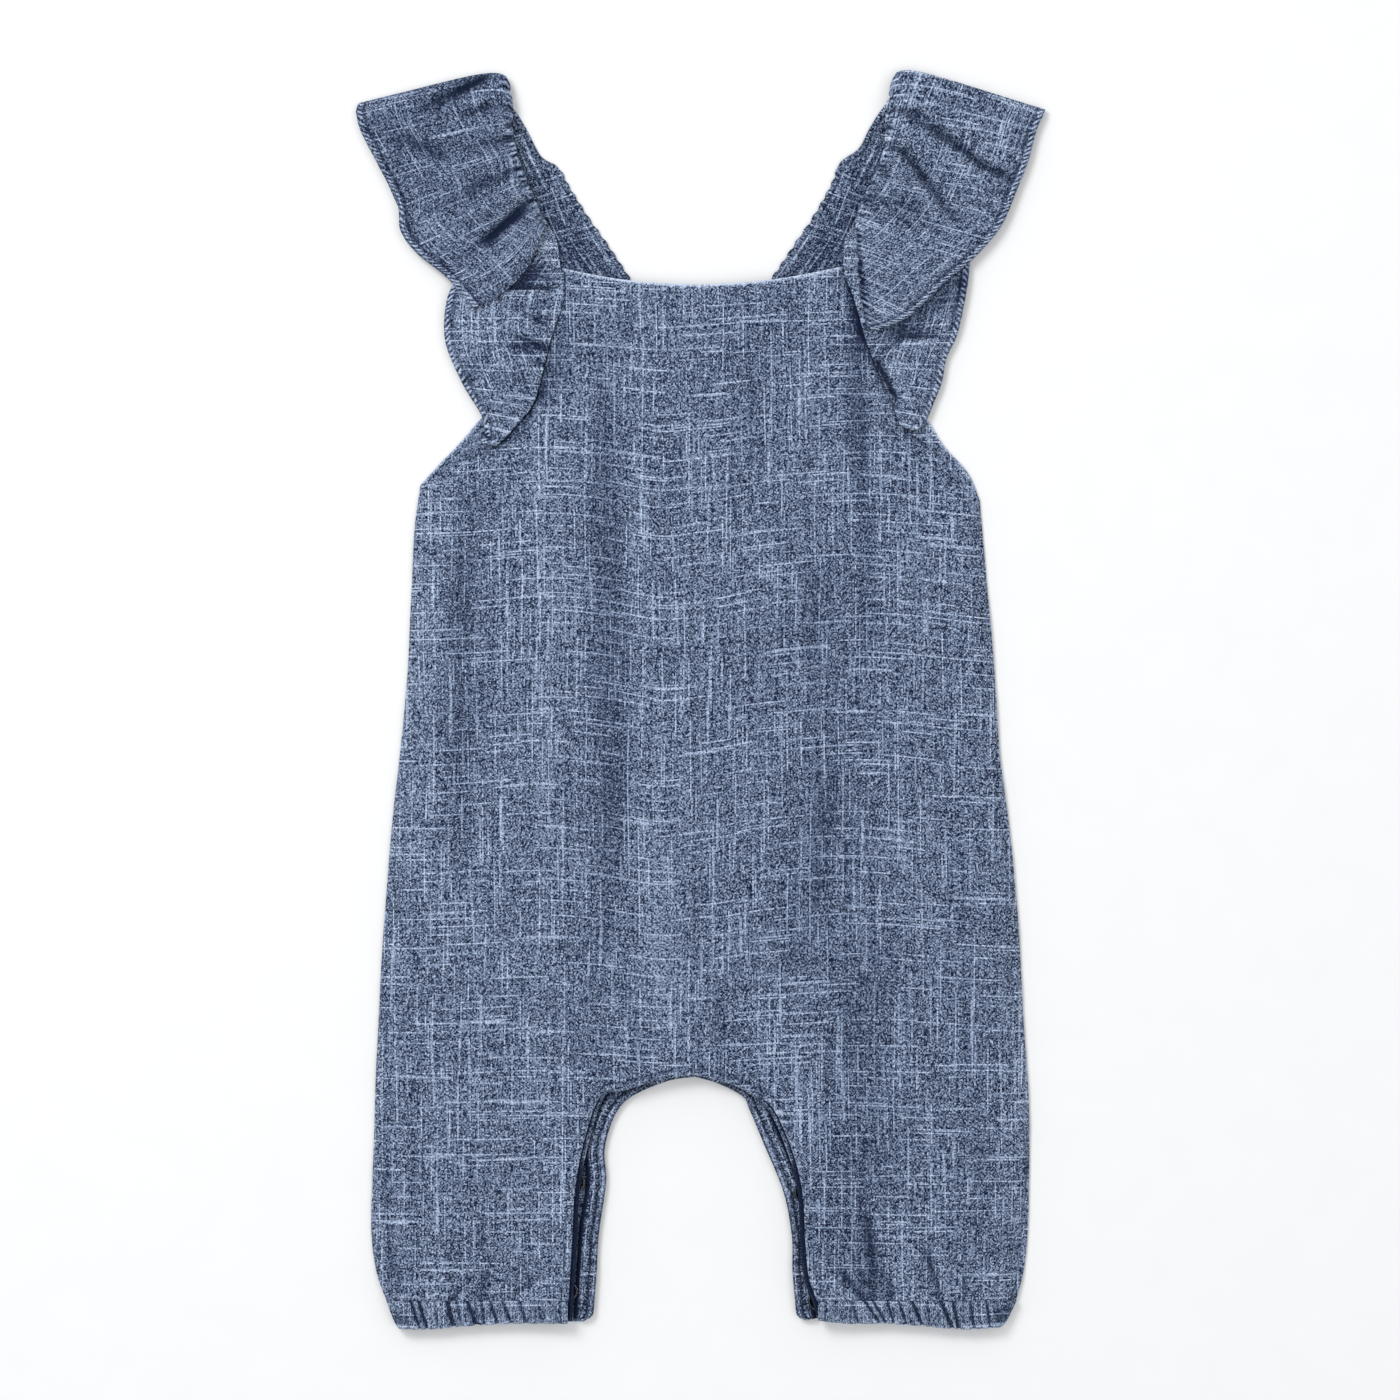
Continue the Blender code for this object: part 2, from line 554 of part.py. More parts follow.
def make_back():
    sheets = []
    for half, flip in ((BACK_LEFT, True), (BACK_RIGHT, False)):
        flat = panel_half(half, BACK_STEPS, BACK_COLUMNS)
        sheets.append((np.dstack([flat, np.zeros(flat.shape[:2])]), flip))
    cloth("back_panel", sheets, PANEL_WALL, BLUE_INSIDE)


def ruled(stations, columns, table):
    """A sheet ruled across stations of x, y, z, x, y, z, bow, lean. Creases fade out near the floor."""
    a, b, bow, lean = stations[:, None, :3], stations[:, None, 3:6], stations[:, 6:7], stations[:, 7:8]
    t = np.array(columns, float)[None, :]
    points = a + (b - a) * t[..., None]
    across = (b - a)[..., :2] / np.maximum(np.linalg.norm((b - a)[..., :2], axis=-1), 1e-6)[..., None]
    side = np.sign(across[..., 0])
    swing = bow * np.sin(math.pi * t**lean)
    points[..., 0] -= swing * across[..., 1] * side
    points[..., 1] += swing * across[..., 0] * side
    awake = step(points[..., 2], *RUFFLE_WAKE)
    points[..., 2] += creases(table, points[..., 0], points[..., 1]) * awake
    return points


def tail_stations(side, rows):
    """Stations for ruled() from a tail's table, with the seam kept beside the bib's edge."""
    bib = chain(FRONT_LEFT if side == "left" else FRONT_RIGHT, FINE)[-FINE["bib"]:, :2]
    rows = smooth(rows, TAIL_STEPS)
    seam_x = np.interp(rows[:, 0], bib[:, 1], bib[:, 0])
    seam_x += np.sign(seam_x) * TAIL_SEAM
    straight = np.ones_like(seam_x)
    return np.column_stack([seam_x, rows, 0 * straight, straight])


def make_ruffles():
    for side, rows, table in (
        ("left", RUFFLE_LEFT, RUFFLE_LEFT_CREASES),
        ("right", RUFFLE_RIGHT, RUFFLE_RIGHT_CREASES),
    ):
        points = ruled(chain(rows, RUFFLE_STEPS), RUFFLE_COLUMNS, table)
        cloth(f"ruffle_{side}", [(points, side == "left")], TRIM_WALL)
    for side, rows in (("left", TAIL_LEFT), ("right", TAIL_RIGHT)):
        points = ruled(tail_stations(side, rows), TAIL_COLUMNS, TAIL_CREASES)
        cloth(f"ruffle_tail_{side}", [(points, side == "right")], TRIM_WALL)


def make_straps():
    for side, rows in (("left", STRAP_LEFT), ("right", STRAP_RIGHT)):
        edges = chain(rows, STRAP_STEPS)
        stations = np.insert(edges, 2, edges[:, 4], axis=1)
        points = ruled(stations, STRAP_COLUMNS, ())
        cloth(f"strap_{side}", [(points, side == "right")], TRIM_WALL, BLUE_INSIDE)


def inside_edge(half, beyond, steps=30):
    """Inside-leg edge of a half panel, from the hem to the crotch, moved out and carried to the hem."""
    edge = smooth(half["leg"], steps)[:, 2:]
    down = (edge[:1] - edge[1:2]) / np.linalg.norm(edge[0] - edge[1])
    edge[-1, 0] += np.sign(edge[0, 0]) * LAID
    edge = np.vstack([edge[:1] + down * PLACKET_RUN, edge])
    ahead = np.gradient(edge, axis=0)
    ahead /= np.linalg.norm(ahead, axis=1)[:, None]
    out = np.stack([ahead[:, 1], -ahead[:, 0]], axis=1)
    out *= np.sign(edge[0, 0]) * -1
    return edge + out * beyond, out


def hem_wall(y):
    """Wall of a panel, grown to that of the hem casing towards the hem."""
    return PANEL_WALL + (CASING_WALL - PANEL_WALL) * step(-y, *CASING_RISE)


def make_plackets():
    share = np.array([0, 0.5, 1])[None, :, None]
    for side, front, back in (("left", FRONT_LEFT, BACK_LEFT), ("right", FRONT_RIGHT, BACK_RIGHT)):
        edge, out = inside_edge(front, PLACKET_SHOW)
        flat = edge[:, None] - out[:, None] * share * PLACKET_WIDTH
        low = front_top(flat[..., 0], flat[..., 1]) - LAID - hem_wall(flat[..., 1])
        cloth(f"placket_front_{side}", [(np.dstack([flat, low]), side == "left")], TRIM_WALL)

        edge, out = inside_edge(back, 0)
        flat = edge[:, None] - out[:, None] * share * PLACKET_WIDTH
        high = hem_wall(flat[..., 1]) + SEAM + TRIM_WALL
        cloth(f"placket_back_{side}", [(np.dstack([flat, high]), side == "left")], TRIM_WALL)


def gather(places, x, depth):
    """Puckers of a casing: a valley at each place and a round ridge between two of them."""
    nearest = np.abs(x[..., None] - np.array(places)).min(axis=-1)
    return depth * (1 - 2 * np.exp(-((nearest / GATHER_WIDTH) ** 2)))


def make_casings():
    """Each hem casing as one strip: along the front, round the side and back along the floor."""
    for side, rows, places in (("left", CASING_LEFT, GATHERS_LEFT), ("right", CASING_RIGHT, GATHERS_RIGHT)):
        sign = -1 if side == "left" else 1
        share = np.array(CASING_ROWS)[None, :]
        front = smooth(rows, CASING_STEPS["front"])
        x = np.repeat(front[:, :1], len(CASING_ROWS), axis=1)
        pucker = gather(places, x, GATHER_DEPTH)
        y = front[:, 1:2] + (front[:, 2:] - front[:, 1:2]) * share - HEM_SCALLOP * pucker * (share == 1)
        crown = np.sin(math.pi * share)
        held = SEAM_PUCKER + (1 - SEAM_PUCKER) * crown
        z = front_top(x, y) + (CASING_PUFF * crown + pucker) * held
        sheet = [np.dstack([x, y, z])]

        top_x, low_x = CASING_SIDE_X[side]
        turn = np.linspace(0, math.pi, CASING_STEPS["side"] + 2)[1:-1, None]
        reach = (top_x + (low_x - top_x) * share) - x[-1:]
        round_x = x[-1:] + reach * np.sin(turn)
        height = z[-1:]
        sheet.append(np.dstack([round_x, y[-1:] + 0 * turn, height * (1 + np.cos(turn)) / 2]))

        count = CASING_STEPS["back"]
        back_x = np.linspace(x[-1, 0], CASING_BACK_X[side], count + 1)[:, None] + 0 * share
        low_y = np.interp(back_x * sign, front[:, 0] * sign, front[:, 2])
        back_y = y[-1:] + (low_y - y[-1, -1]) * share
        sheet.append(np.dstack([back_x, back_y, 0 * back_x]))
        cloth(f"leg_casing_{side}", [(np.vstack(sheet), side == "left")], CASING_WALL)


def make_snaps():
    """Metal snaps between the two plackets, each turned from its profile of radius and height."""
    profile = (
        (0, SNAP_THICK),
        (SNAP_RADIUS - SNAP_RIM, SNAP_THICK),
        (SNAP_RADIUS, SNAP_THICK - SNAP_RIM),
        (SNAP_RADIUS, SNAP_RIM),
        (SNAP_RADIUS - SNAP_RIM, 0),
        (0, 0),
    )
    for side, half in (("left", FRONT_LEFT), ("right", FRONT_RIGHT)):
        edge, out = inside_edge(half, 0)
        for number, y in enumerate(SNAP_YS[side], 1):
            at = np.abs(edge[:, 1] - y).argmin()
            x = edge[at, 0] + out[at, 0] * (PLACKET_SHOW - SNAP_BITE)
            floor = hem_wall(y) + TRIM_WALL + 2 * SEAM
            mesh = bpy.data.meshes.new(f"snap_{side}_{number}")
            points = [(r * MM, 0, z * MM) for r, z in profile]
            mesh.from_pydata(points, [(i, i + 1) for i in range(len(points) - 1)], [])
            mesh.materials.append(material(mesh.name, GUNMETAL, 0.35, 1))
            snap = bpy.data.objects.new(mesh.name, mesh)
            snap.location = (x * MM, y * MM, floor * MM)
            turned = snap.modifiers.new("Turned", "SCREW")
            turned.steps = turned.render_steps = SNAP_SIDES
            turned.use_merge_vertices = True
            turned.merge_threshold = 0.00001
            garment.objects.link(snap)


for old in list(bpy.data.objects):
    bpy.data.objects.remove(old)
garment = bpy.data.collections.new("baby dungarees")
bpy.context.scene.collection.children.link(garment)

make_front()
make_back()
make_ruffles()
make_straps()
make_plackets()
make_casings()
make_snaps()
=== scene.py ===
"""Baby dungarees in washed linen chambray, laid flat on their back and seen from above.

Lengths are in millimetres until a mesh is made. The left leg and strap are those on the left of the
picture, towards -X. The shoulders are towards +Y, and the front is up.
"""

import math

import bpy
import numpy as np
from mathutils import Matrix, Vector, noise
from mathutils.kdtree import KDTree


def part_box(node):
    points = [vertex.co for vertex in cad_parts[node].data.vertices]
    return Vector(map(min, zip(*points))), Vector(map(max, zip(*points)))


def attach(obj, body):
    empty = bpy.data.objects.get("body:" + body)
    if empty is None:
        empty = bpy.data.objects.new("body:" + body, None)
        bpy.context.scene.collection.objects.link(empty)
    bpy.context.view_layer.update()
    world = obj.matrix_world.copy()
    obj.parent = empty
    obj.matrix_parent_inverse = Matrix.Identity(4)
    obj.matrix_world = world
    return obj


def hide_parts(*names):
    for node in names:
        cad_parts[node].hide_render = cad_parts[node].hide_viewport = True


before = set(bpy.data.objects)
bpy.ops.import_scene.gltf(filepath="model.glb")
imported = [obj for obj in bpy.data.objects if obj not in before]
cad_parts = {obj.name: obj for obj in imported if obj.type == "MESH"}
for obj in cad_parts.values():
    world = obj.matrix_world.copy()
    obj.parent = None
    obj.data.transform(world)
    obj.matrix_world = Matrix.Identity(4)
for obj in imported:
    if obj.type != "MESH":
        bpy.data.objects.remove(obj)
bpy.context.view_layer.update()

# ----------------------------------------
# Back panel. One piece of linen chambray cut on the fold: two leg halves, the body and a low bib.
# It lies flat on the surface, its right side down, and shows past the front at the armholes and
# inside legs. Its outline is drawn in rows: side x, side y, inner x, inner y.

MM = 0.001
CLOTH_WALL = 0.6
BACK_LEFT = {
    "leg": (
        (-125.6, -240.2, -42.2, -240.2), (-129.6, -229, -41.4, -229), (-131.6, -214, -40.4, -213),
        (-131.4, -196, -37.6, -193), (-130.6, -176, -38.2, -180), (-130.2, -161, -34.2, -166.6),
        (-129.8, -148, -27.4, -158.8), (-129.2, -137, -13, -152.6), (-128.6, -125, -2, -150.8),
    ),
    "body": (
        (-125.8, -80, -0.6, -95), (-120, -20, 0, -25), (-117.2, 10, 0, 10), (-115.6, 42, 0, 42),
        (-112, 86, 0, 86),
    ),
    "bib": (
        (-105, 93.8, 0, 95), (-96, 103.2, 0, 104), (-87.8, 112.8, 0, 113), (-80, 121, 0, 121),
        (-62, 132, 0, 132), (-38, 140.7, 0, 140.7),
    ),
}
BACK_RIGHT = {
    "leg": (
        (126.6, -240.2, 38, -240.2), (129.6, -229, 37, -228), (131.2, -214, 36.8, -215),
        (131.8, -196, 33.4, -197), (132, -180, 25.4, -177.4), (131.8, -163, 19.8, -164),
        (131, -148, 17, -158.6), (130.2, -137, 7.4, -153.6), (129.4, -125, -2, -150.8),
    ),
    "body": (
        (126.8, -80, -0.6, -95), (120.2, -22, 0, -25), (118.2, 8, 0, 10), (115.4, 41, 0, 42),
        (112, 80, 0, 86),
    ),
    "bib": (
        (107.4, 91, 0, 95), (98, 101.6, 0, 104), (90.8, 112.8, 0, 113), (82.4, 121.4, 0, 121.4),
        (62, 132, 0, 132), (38, 140.7, 0, 140.7),
    ),
}
BACK_STEPS = {"leg": 64, "body": 56, "bib": 40}
BACK_ENDS = ((0.04, 0.1, 0.2), (0.02, 0.06, 0.12, 0.25))  # more rows at the hem and at the top
BACK_ACROSS = 44
BACK_LEG_POINTS = 400
PATH_STEPS = {"leg": 360, "body": 360, "bib": 240}
# Distances from a panel's edge, closer together where the cloth rolls over.
PANEL_EDGE = (0, 0.2, 0.5, 0.9, 1.4, 2.0, 2.7, 3.6, 4.8)
ARMHOLE_Y = (82, 90)  # the side seam ends and the armhole begins
FACING_WIDTH = 3.2  # of the armhole's turned edge
HEM_RISE = (-224, -238)  # y over which the layers round up to the hem casings
GRAIN_DROP = 0.02  # slope of the back's cross threads, down towards its sides
# Soft creases: start x, start y, end x, end y, width, height. A last number widens one flank of a few.
BACK_CREASES = (
    (-52, 96, -58, -60, 10, 0.35), (-90, 60, -96, -70, 8, 0.3), (8, 118, 4, -70, 12, 0.4),
    (50, 100, 54, -40, 9, 0.3), (86, 70, 92, -90, 9, 0.35), (-100, -120, -92, -220, 9, 0.35),
    (-66, -150, -60, -225, 7, 0.3), (70, -150, 66, -225, 7, 0.3), (104, -110, 100, -220, 9, 0.35),
    (-40, -100, -24, -150, 8, 0.3), (30, -100, 18, -150, 8, 0.3),
)


def smooth(rows, at):
    """Points of a smooth curve through the rows of a table, at places counted in rows."""
    table = np.array(rows, float)
    table = np.vstack([2 * table[0] - table[1], table, 2 * table[-1] - table[-2]])
    start = np.minimum(np.asarray(at).astype(int), len(rows) - 2)
    t = (at - start)[:, None]
    a, b, c, d = (table[start + k] for k in range(4))
    return b + 0.5 * t * (c - a + t * (2 * a - 5 * b + 4 * c - d + t * (3 * b - a - 3 * c + d)))


def trace(rows, count):
    """Points spread evenly over the smooth curve through the rows of a table."""
    return smooth(rows, np.linspace(0, len(rows) - 1, count))


def chain(sections, steps, first=(), last=()):
    """An outline's sections as one run of rows, with more rows at its ends. Each section carries on
    from the last row of the one before, with a corner there."""
    parts, joint = [], ()
    for name, count in steps.items():
        rows = joint + sections[name]
        end = len(rows) - 1
        at = [np.linspace(0, end, count + 1)]
        if not parts:
            at.append(first)
        if len(parts) == len(steps) - 1:
            at.append(end - np.array(last))
        parts.append(smooth(rows, np.unique(np.concatenate(at)))[bool(parts):])
        joint = rows[-1:]
    return np.vstack(parts)


def across(run, count):
    """Share of the way over each row for its points, with the edge distances kept at both ends."""
    width = np.maximum(np.hypot(run[:, 2] - run[:, 0], run[:, 3] - run[:, 1]), 0.001)[:, None]
    edge = np.array(PANEL_EDGE) * np.minimum(1, 0.4 * width / PANEL_EDGE[-1]) / width
    even = np.linspace(0, 1, count + 2)[1:-1]
    middle = edge[:, -1:] + (1 - 2 * edge[:, -1:]) * even
    return np.hstack([edge, middle, 1 - edge[:, ::-1]])


def rule(run, share):
    """x and y of the points on each row of an outline."""
    share = share[..., None]
    return np.moveaxis(run[:, None, :2] * (1 - share) + run[:, None, 2:] * share, -1, 0)


def creases(table, x, y):
    """Height that soft ridges and troughs add at x, y. Each fades out past its two ends."""
    hold, fade = 0.35, 0.15
    height = np.zeros_like(x)
    for x0, y0, x1, y1, width, rise, *lean in table:
        run = math.hypot(x1 - x0, y1 - y0)
        along = ((x - x0) * (x1 - x0) + (y - y0) * (y1 - y0)) / run
        off = ((x - x0) * (y1 - y0) - (y - y0) * (x1 - x0)) / run
        past = np.maximum(np.abs(along - run / 2) - hold * run, 0) / (fade * run + width)
        reach = np.where(off > 0, width * lean[0], width) if lean else width
        height += rise * np.exp(-((off / reach) ** 2) - past**2)
    return height


def step(x, start, end):
    """0 before start, 1 past end, and a smooth rise between them."""
    t = np.clip((x - start) / (end - start), 0, 1)
    return t * t * (3 - 2 * t)


def close(gap, width):
    """1 on a line and less away from it, where gap is the distance to it."""
    return np.exp(-((gap / width) ** 2))


def arch(x, width):
    """A half round from 0 to width, and 0 outside."""
    return np.sin(math.pi * np.clip(x / width, 0, 1))


def lengths(run):
    """How far along a run of points each one is."""
    return np.cumsum(np.linalg.norm(np.gradient(run, axis=0), axis=1))[:, None]


def nearest(x, y, path):
    """Distance from each x, y to the nearest of a path's points."""
    tree = KDTree(len(path))
    for number, point in enumerate(path):
        tree.insert((point[0], point[1], 0), number)
    tree.balance()
    gaps = [tree.find((a, b, 0))[2] for a, b in zip(x.ravel(), y.ravel())]
    return np.array(gaps).reshape(x.shape)


def waver(x, y, seed):
    """Uneven soft swell from -1 to 1, for handled cloth."""
    swell = [noise.noise(Vector((a, b, seed))) for a, b in zip(x.ravel(), y.ravel())]
    return np.array(swell).reshape(x.shape)


def vectors(*parts):
    """Arrays and numbers as one array of vectors."""
    return np.stack(np.broadcast_arrays(*(np.asarray(part, float) for part in parts)), axis=-1)


class Yarn:
    """A value in a shader. Sums on it add Math nodes, and node() adds any other node."""

    def __init__(self, tree, socket=None):
        self.tree, self.socket = tree, socket

    def node(self, kind, inputs, output=0, **settings):
        made = self.tree.nodes.new("ShaderNode" + kind)
        for name, value in settings.items():
            setattr(made, name, value)
        for name, value in inputs.items():
            if isinstance(value, Yarn):
                self.tree.links.new(value.socket, made.inputs[name])
            else:
                made.inputs[name].default_value = value
        return Yarn(self.tree, made.outputs[output])

    def math(self, operation, *others):
        return self.node("Math", dict(enumerate((self, *others))), operation=operation)

    def __add__(self, other):
        return self.math("ADD", other)

    def __sub__(self, other):
        return self.math("SUBTRACT", other)

    def __rsub__(self, other):
        return self * -1 + other

    def __mul__(self, other):
        return self.math("MULTIPLY", other)

    def __truediv__(self, other):
        return self.math("DIVIDE", other)

    __radd__, __rmul__ = __add__, __mul__

    def rise(self, start, end):
        """0 under start, 1 over end, and a smooth rise between them."""
        limits = {"Value": self, "From Min": start, "From Max": end}
        return self.node("MapRange", limits, interpolation_type="SMOOTHSTEP")

    def blend(self, low, high):
        """The colour low where this is 0 and high where it is 1."""
        return self.node("Mix", {0: self, 6: low, 7: high}, 2, data_type="RGBA")

    def into(self, finish, name):
        self.tree.links.new(self.socket, finish.inputs[name])


def new_material(name):
    """A material, its finish and a first value in its shader."""
    made = bpy.data.materials.new(name)
    made.use_nodes = True
    return made, made.node_tree.nodes["Principled BSDF"], Yarn(made.node_tree)


def put(name, data):
    """A new object in the scene."""
    made = bpy.data.objects.new(name, data)
    bpy.context.scene.collection.objects.link(made)
    return made


INDIGO = (0.004, 0.010, 0.034, 1)
WASHED = (0.218, 0.284, 0.424, 1)
PALEST = (0.60, 0.69, 0.86, 1)
THREAD_PITCH = 0.54
WANDER = 2.2
# Where on the bolt each piece is cut, so that no two show the same threads.
BOLT = {
    "back": 11, "front": 3, "placket_front": 21, "placket_back": 27, "strap": 31,
    "ruffle_left": 41, "ruffle_right": 47, "tail": 53,
}


def chambray(name, tone, contrast=1.0):
    """Plain weave of indigo and pale slub yarns, along the grain that each mesh carries, with its wear,
    painted highlights and painted shade.
    """
    material, finish, shader = new_material(name)
    grain = shader.node("Attribute", {}, "Vector", attribute_name="grain")
    wear_and_painted_light = shader.node("Attribute", {}, "Vector", attribute_name="wear_and_painted_light")
    s, t, bolt = (grain.node("SeparateXYZ", {0: grain}, k) for k in range(3))
    wear_and_highlight, deep = (wear_and_painted_light.node("SeparateXYZ", {0: wear_and_painted_light}, k) for k in range(2))

    def cloud(x, y, detail=0.0):
        place = shader.node("CombineXYZ", {0: x, 1: y, 2: bolt})
        return shader.node("TexNoise", {"Vector": place, "Scale": 1.0, "Detail": detail})

    # The threads wander a little over a hand's width.
    s = s + (cloud(s / 26, t / 60) - 0.5) * WANDER
    t = t + (cloud(t / 26, s / 60) - 0.5) * WANDER

    def yarns(over, along, slubs, first, streaks):
        """Tone and slubs of the yarns that run one way, and how far over one of them a point is."""
        at = over / THREAD_PITCH
        number = at.math("FLOOR") + first
        way = (at.math("FRACT") - 0.5).math("ABSOLUTE") * 2
        lot = number.node("TexWhiteNoise", {"W": number + bolt}, noise_dimensions="1D")
        long_slub = cloud(number * 3.71, along / 40 + lot * 9).rise(slubs, slubs + 0.06)
        short_slub = cloud(number * 5.37 + 90, along / 6 + lot * 31).rise(slubs + 0.04, slubs + 0.14)
        stretch = cloud(number * 2.39 + 17, along / 40 + lot * 7) - 0.5
        uneven = cloud(number * 7.93 + 40, along / 4 + lot * 5) - 0.5
        speck = cloud(number * 9.17 + 11, along / 0.7 + lot * 3) - 0.5
        slub = long_slub.math("MAXIMUM", short_slub * 0.7)
        streak = ((lot - 0.5) * 0.3 + stretch * 0.6) * streaks
        tint = streak + (uneven * 0.5 + speck * 2.2 + slub * 0.45) * contrast
        return tint, slub, way, number

    warp, warp_slub, warp_way, warp_number = yarns(s, t, 0.64, 0, 0.6)
    weft, weft_slub, weft_way, weft_number = yarns(t, s, 0.655, 1703, 0.35)
    odd = ((warp_number + weft_number) / 2).math("FRACT") * 2
    top = (odd + weft_slub * 0.6 - warp_slub * 0.6).rise(0.3, 0.7) * 0.6 + 0.2
    yarn = (warp - 0.06) * (1 - top) + (weft + 0.06) * top
    way = warp_way * (1 - top) + weft_way * top
    bands = (cloud(s / 7, t / 150) - 0.5) * 0.08 + (cloud(s / 120, t / 9) - 0.5) * 0.04
    mottle = (cloud(s / 34, t / 48, 2.0) - 0.5) * 0.04
    # Wear and painted highlights from the mesh make the yarns paler in speckles, up to the palest
    # colour.
    pale_shift = wear_and_highlight * (cloud(s / 0.9, t / 0.9, 1.0) * 0.9 + 0.1)
    light = yarn + bands + mottle + pale_shift * 0.75 + tone
    # Each yarn is painted darker towards its sides, as shade between the threads, and the mesh's painted
    # shade darkens it further.
    light = light * (1 - way * way * 0.5) * (1 - deep * 0.8)
    ground = light.rise(0.0, 0.5).blend(INDIGO, WASHED)
    light.rise(0.3, 1.0).blend(ground, PALEST).into(finish, "Base Color")
    (0.95 - light * 0.15).into(finish, "Roughness")
    height = (1 - way * way) * (0.6 + yarn * 0.6)
    relief = shader.node("Bump", {"Height": height, "Strength": 0.35, "Distance": 0.0002})
    relief.into(finish, "Normal")
    finish.inputs["Specular IOR Level"].default_value = 0.15
    finish.inputs["Sheen Weight"].default_value = 0.03
    return material


# The cloth's two sides, by the slot of the record that a piece takes its finish from.
SIDES = {
    "chambray": chambray("chambray", 0.265),
    "chambray_wrong_side": chambray("chambray_wrong_side", 0.2, 1.1),
}


def cloth(node, slot, *sheets, wall=CLOTH_WALL):
    """A thin shell from sheets of points, grain, wear with painted light and shade, and turn, thickened
    away from its outer face.
    """
    points, grains, wear_and_painted_lights, faces, total = [], [], [], [], 0
    for sheet, grain, wear_and_painted_light, turned in sheets:
        rows, columns = sheet.shape[:2]
        index = total + np.arange(rows * columns).reshape(rows, columns)
        ring = [index[:-1, :-1], index[:-1, 1:], index[1:, 1:], index[1:, :-1]]
        faces.append(np.stack(ring[::-1] if turned else ring, axis=-1).reshape(-1, 4))
        for kept, part in ((points, sheet), (grains, grain), (wear_and_painted_lights, wear_and_painted_light)):
            kept.append(part.reshape(-1, 3))
        total += rows * columns
    points, grains, wear_and_painted_lights, faces = (np.vstack(part) for part in (points, grains, wear_and_painted_lights, faces))
    joined = 0.004
    places = np.round(points / joined)
    _, first, same = np.unique(places, axis=0, return_index=True, return_inverse=True)
    faces = same.reshape(-1)[faces]
    ordered = np.sort(faces, axis=1)
    faces = faces[(ordered[:, 1:] != ordered[:, :-1]).all(axis=1)]
    name = node.removesuffix("_panel") + "_cloth"
    mesh = bpy.data.meshes.new(name)
    mesh.from_pydata((points[first] * MM).tolist(), [], faces.tolist())
    for label, values in (("grain", grains), ("wear_and_painted_light", wear_and_painted_lights)):
        layer = mesh.attributes.new(label, "FLOAT_VECTOR", "POINT")
        layer.data.foreach_set("vector", values[first].astype(np.float32).ravel())
    mesh.shade_smooth()
    mesh.materials.append(SIDES[slot])
    piece = put(name, mesh)
    thick = piece.modifiers.new("Wall", "SOLIDIFY")
    thick.thickness = wall * MM
    thick.offset = -1
    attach(piece, "root")
    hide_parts(node)
    return piece


sheets = []
for half, turned in ((BACK_LEFT, False), (BACK_RIGHT, True)):
    run = chain(half, BACK_STEPS, *BACK_ENDS)
    x, y = rule(run, across(run, BACK_ACROSS))
    to_side = nearest(x, y, chain(half, PATH_STEPS)[:, :2])
    to_leg = nearest(x, y, trace(half["leg"], BACK_LEG_POINTS)[:, 2:])
    to_edge = np.minimum(np.minimum(to_side, to_leg), half["bib"][-1][1] - y)
    armhole = step(y, *ARMHOLE_Y)
    swell = 0.25 + creases(BACK_CREASES, x, y) + 0.12 * waver(x / 16, y / 40, 3)
    z = CLOTH_WALL + np.maximum(swell, 0) * (1 - close(to_edge, 3.0))
    z += 0.35 * arch(to_side, FACING_WIDTH) * armhole
    z += 0.9 * close(to_side, 2.5) * step(y, *HEM_RISE)
    # Wear on the armhole's folded edge. Painted shade over the armhole strip, less at its edge, and near
    # the inside legs under the front.
    wear_and_highlight = (1.2 * close(to_side, 0.8) + 0.5 * close(to_side - FACING_WIDTH, 0.5)) * armhole
    shade = 0.2 * armhole * (1 - 0.8 * close(to_side, 1.6)) + 0.2 * close(to_leg, 9)
    grain = vectors(x, y + GRAIN_DROP * abs(x), BOLT["back"])
    sheets.append((vectors(x, y, z), grain, vectors(wear_and_highlight, shade, 0), turned))
back = cloth("back_panel", "chambray", *sheets)

# ----------------------------------------
# Front panel. One piece of the same chambray, with no waist seam: legs, body and a straight bib whose
# folded top edge has worn pale. It is sewn to the back down both sides, rolls down to it there, and
# stands over the snap plackets along the inside legs.

FRONT_LEFT = {
    "leg": (
        (-125.6, -240.2, -52.6, -240.2), (-129.6, -229, -51.9, -229), (-131.6, -214, -51, -214),
        (-131.4, -196, -50, -196), (-130.6, -176, -46.4, -176.6), (-130.2, -161, -39.8, -158.6),
        (-129.8, -148, -29, -155.4), (-129.2, -137, -14.6, -151.6), (-128.6, -125, -2, -149.8),
    ),
    "body": (
        (-127.6, -105, -1.2, -124), (-125.8, -80, -0.6, -95), (-123.2, -48, 0, -60), (-120, -20, 0, -25),
        (-117.2, 10, 0, 10), (-115.6, 42, 0, 42), (-114.4, 68, 0, 68), (-112, 86, 0, 88),
    ),
    "bib": (
        (-98, 94.6, 0, 101), (-83.6, 100.6, 0, 112), (-73, 111, 0, 122), (-66.4, 120.6, 0, 131),
        (-60.4, 143.6, 0, 145), (-55.2, 160, 0, 157), (-55.2, 172.8, 0, 166.2),
    ),
}
